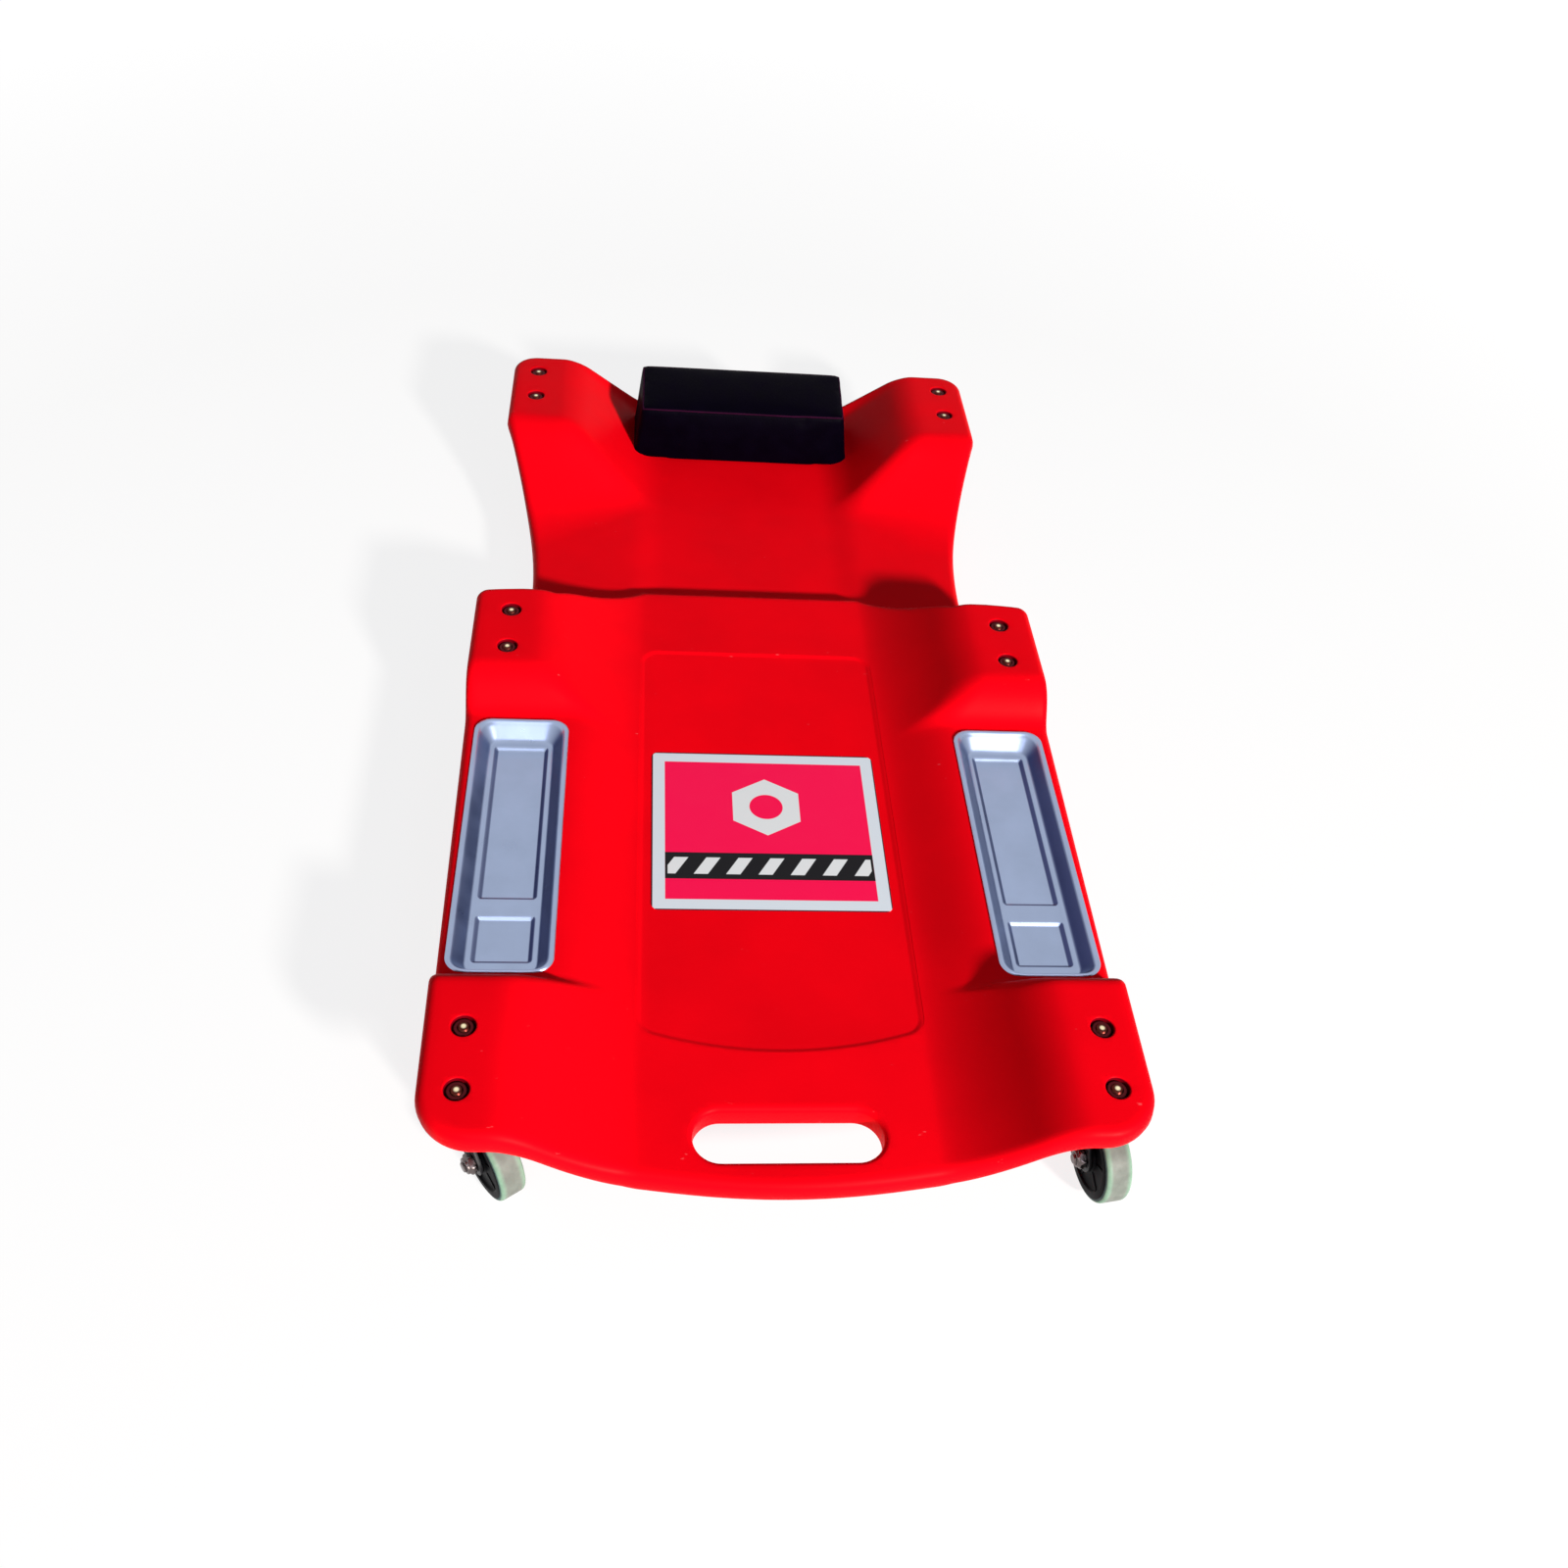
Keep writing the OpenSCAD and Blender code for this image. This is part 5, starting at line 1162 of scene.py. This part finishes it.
class CREEPER_OT_stage(bpy.types.Operator):
    """Sets the pale floor, the lights and the camera"""
    bl_idname = "creeper.stage"
    bl_label = "Stage"

    # Where the key light and the fills stand and how wide they are, in metres
    key_place, key_size = (2.78, -4.62, 2.43), 0.51
    fill_x, fill_y, fill_z, fill_size = (-0.39, 0.85), -1.82, 1.95, 0.7
    # The camera as solved from the photograph: its place and axes, and the focal length in the photo's pixels
    camera_place = (-0.1097, -0.9438, 0.8976)
    camera_forward, camera_right = (0.106, 0.700, -0.706), (0.994, -0.060, 0.090)
    focal_px, photo_px = 1475, 1600

    def execute(self, context):
        props = context.scene.creeper_stage
        scene = context.scene
        bpy.ops.object.select_all(action="DESELECT")
        bpy.ops.mesh.primitive_plane_add(size=24)
        floor = context.view_layer.objects.active
        floor.name = "studio_floor"
        floor.data.materials.append(self.floor_paint())
        self.lamp("key_light", self.key_place, (0, 0, 0.05), self.key_size, props.key_power, "#fffaf4")
        for name, x in zip(("left_fill", "right_fill"), self.fill_x):
            self.lamp(name, (x, self.fill_y, self.fill_z), (0, -0.1, 0.05), self.fill_size,
                      props.fill_power / 2, "#e8ecff")
        self.surround(scene, props.sky)
        self.camera(scene)
        scene.view_settings.view_transform = "Standard"
        return {"FINISHED"}

    def lamp(self, name, place, target, size, power, colour):
        light = bpy.data.lights.new(name, "AREA")
        light.shape = "DISK"
        light.size = size
        light.energy = power
        light.color = linear(colour)[:3]
        obj = bpy.data.objects.new(name, light)
        obj.location = place
        obj.rotation_euler = (Vector(target) - Vector(place)).to_track_quat("-Z", "Y").to_euler()
        bpy.context.scene.collection.objects.link(obj)

    def floor_paint(self):
        """White floor: seen and reflected as near white, with the object's shadow kept"""
        material, node, place = new_material("studio_white")
        paint = node("BsdfDiffuse", {"Color": linear("#f2f2f2")})
        shadowed = node("BsdfDiffuse", {"Color": linear("#747474")})
        # The glow grows away from the object, where the key light thins out
        away = node("VectorMath", {0: place}, out="Value", operation="LENGTH")
        fade = node("MapRange", {"Value": away, "From Min": 0.9, "From Max": 2.6, "To Min": 0.84,
                                 "To Max": 1.0})
        glow = node("Emission", {"Color": (1, 1, 1, 1), "Strength": fade})
        both = node("AddShader", {0: shadowed, 1: glow})
        seen = node("MixShader", {0: self.seen_rays(node), 1: paint, 2: both})
        node("OutputMaterial", {"Surface": seen})
        return material

    def seen_rays(self, node):
        """1 for rays from the camera, from a gloss or through glass"""
        seen = 0.0
        for kind in ("Is Camera Ray", "Is Glossy Ray", "Is Transmission Ray"):
            ray = node("LightPath", out=kind)
            seen = node("Math", {0: seen, 1: ray}, operation="MAXIMUM")
        return seen

    def surround(self, scene, strength):
        world = bpy.data.worlds.new("studio_surround")
        scene.world = world
        world.use_nodes = True
        world.node_tree.nodes.clear()
        node = partial(add_node, world.node_tree)
        soft = node("Background", {"Color": linear("#eef0ff"), "Strength": strength})
        white = node("Background", {"Color": (1, 1, 1, 1), "Strength": 1.0})
        mix = node("MixShader", {0: self.seen_rays(node), 1: soft, 2: white})
        node("OutputWorld", {"Surface": mix})

    def camera(self, scene):
        """The photograph's view: in front of the grip end, at 45 degrees down"""
        data = bpy.data.cameras.new("photo_view")
        data.sensor_width = 36.0
        data.lens = data.sensor_width * self.focal_px / self.photo_px
        camera = bpy.data.objects.new("photo_view", data)
        forward = Vector(self.camera_forward).normalized()
        right = Vector(self.camera_right)
        right = (right - forward * right.dot(forward)).normalized()
        turn = Matrix((right, right.cross(forward), -forward)).transposed().to_4x4()
        camera.matrix_world = Matrix.Translation(self.camera_place) @ turn
        scene.collection.objects.link(camera)
        scene.camera = camera


class CREEPER_PT_panel(bpy.types.Panel):
    """Lists the steps that dress the creeper, with what each can change"""
    bl_idname = "CREEPER_PT_panel"
    bl_label = "Creeper"
    bl_space_type = "VIEW_3D"
    bl_region_type = "UI"
    bl_category = "Creeper"

    def draw(self, context):
        for operator, group in STEPS:
            box = self.layout.box()
            box.operator(operator.bl_idname)
            if group:
                settings = getattr(context.scene, group)
                for name in settings.__annotations__:
                    box.prop(settings, name)


GROUPS = {"creeper_deck": CreeperDeck, "creeper_trays": CreeperTrays, "creeper_headrest": CreeperHeadrest,
          "creeper_label": CreeperLabel, "creeper_casters": CreeperCasters, "creeper_stage": CreeperStage}
STEPS = ((CREEPER_OT_deck, "creeper_deck"), (CREEPER_OT_trays, "creeper_trays"),
         (CREEPER_OT_headrest, "creeper_headrest"), (CREEPER_OT_label, "creeper_label"),
         (CREEPER_OT_fasteners, None), (CREEPER_OT_casters, "creeper_casters"),
         (CREEPER_OT_stage, "creeper_stage"))


def register():
    for name, group in GROUPS.items():
        bpy.utils.register_class(group)
        setattr(bpy.types.Scene, name, bpy.props.PointerProperty(type=group))
    for operator, _ in STEPS:
        bpy.utils.register_class(operator)
    bpy.utils.register_class(CREEPER_PT_panel)


def unregister():
    bpy.utils.unregister_class(CREEPER_PT_panel)
    for operator, _ in STEPS:
        bpy.utils.unregister_class(operator)
    for name, group in GROUPS.items():
        delattr(bpy.types.Scene, name)
        bpy.utils.unregister_class(group)


def main():
    register()
    for operator, _ in STEPS:
        area, name = operator.bl_idname.split(".")
        getattr(getattr(bpy.ops, area), name)()


if __name__ == "__main__":
    main()
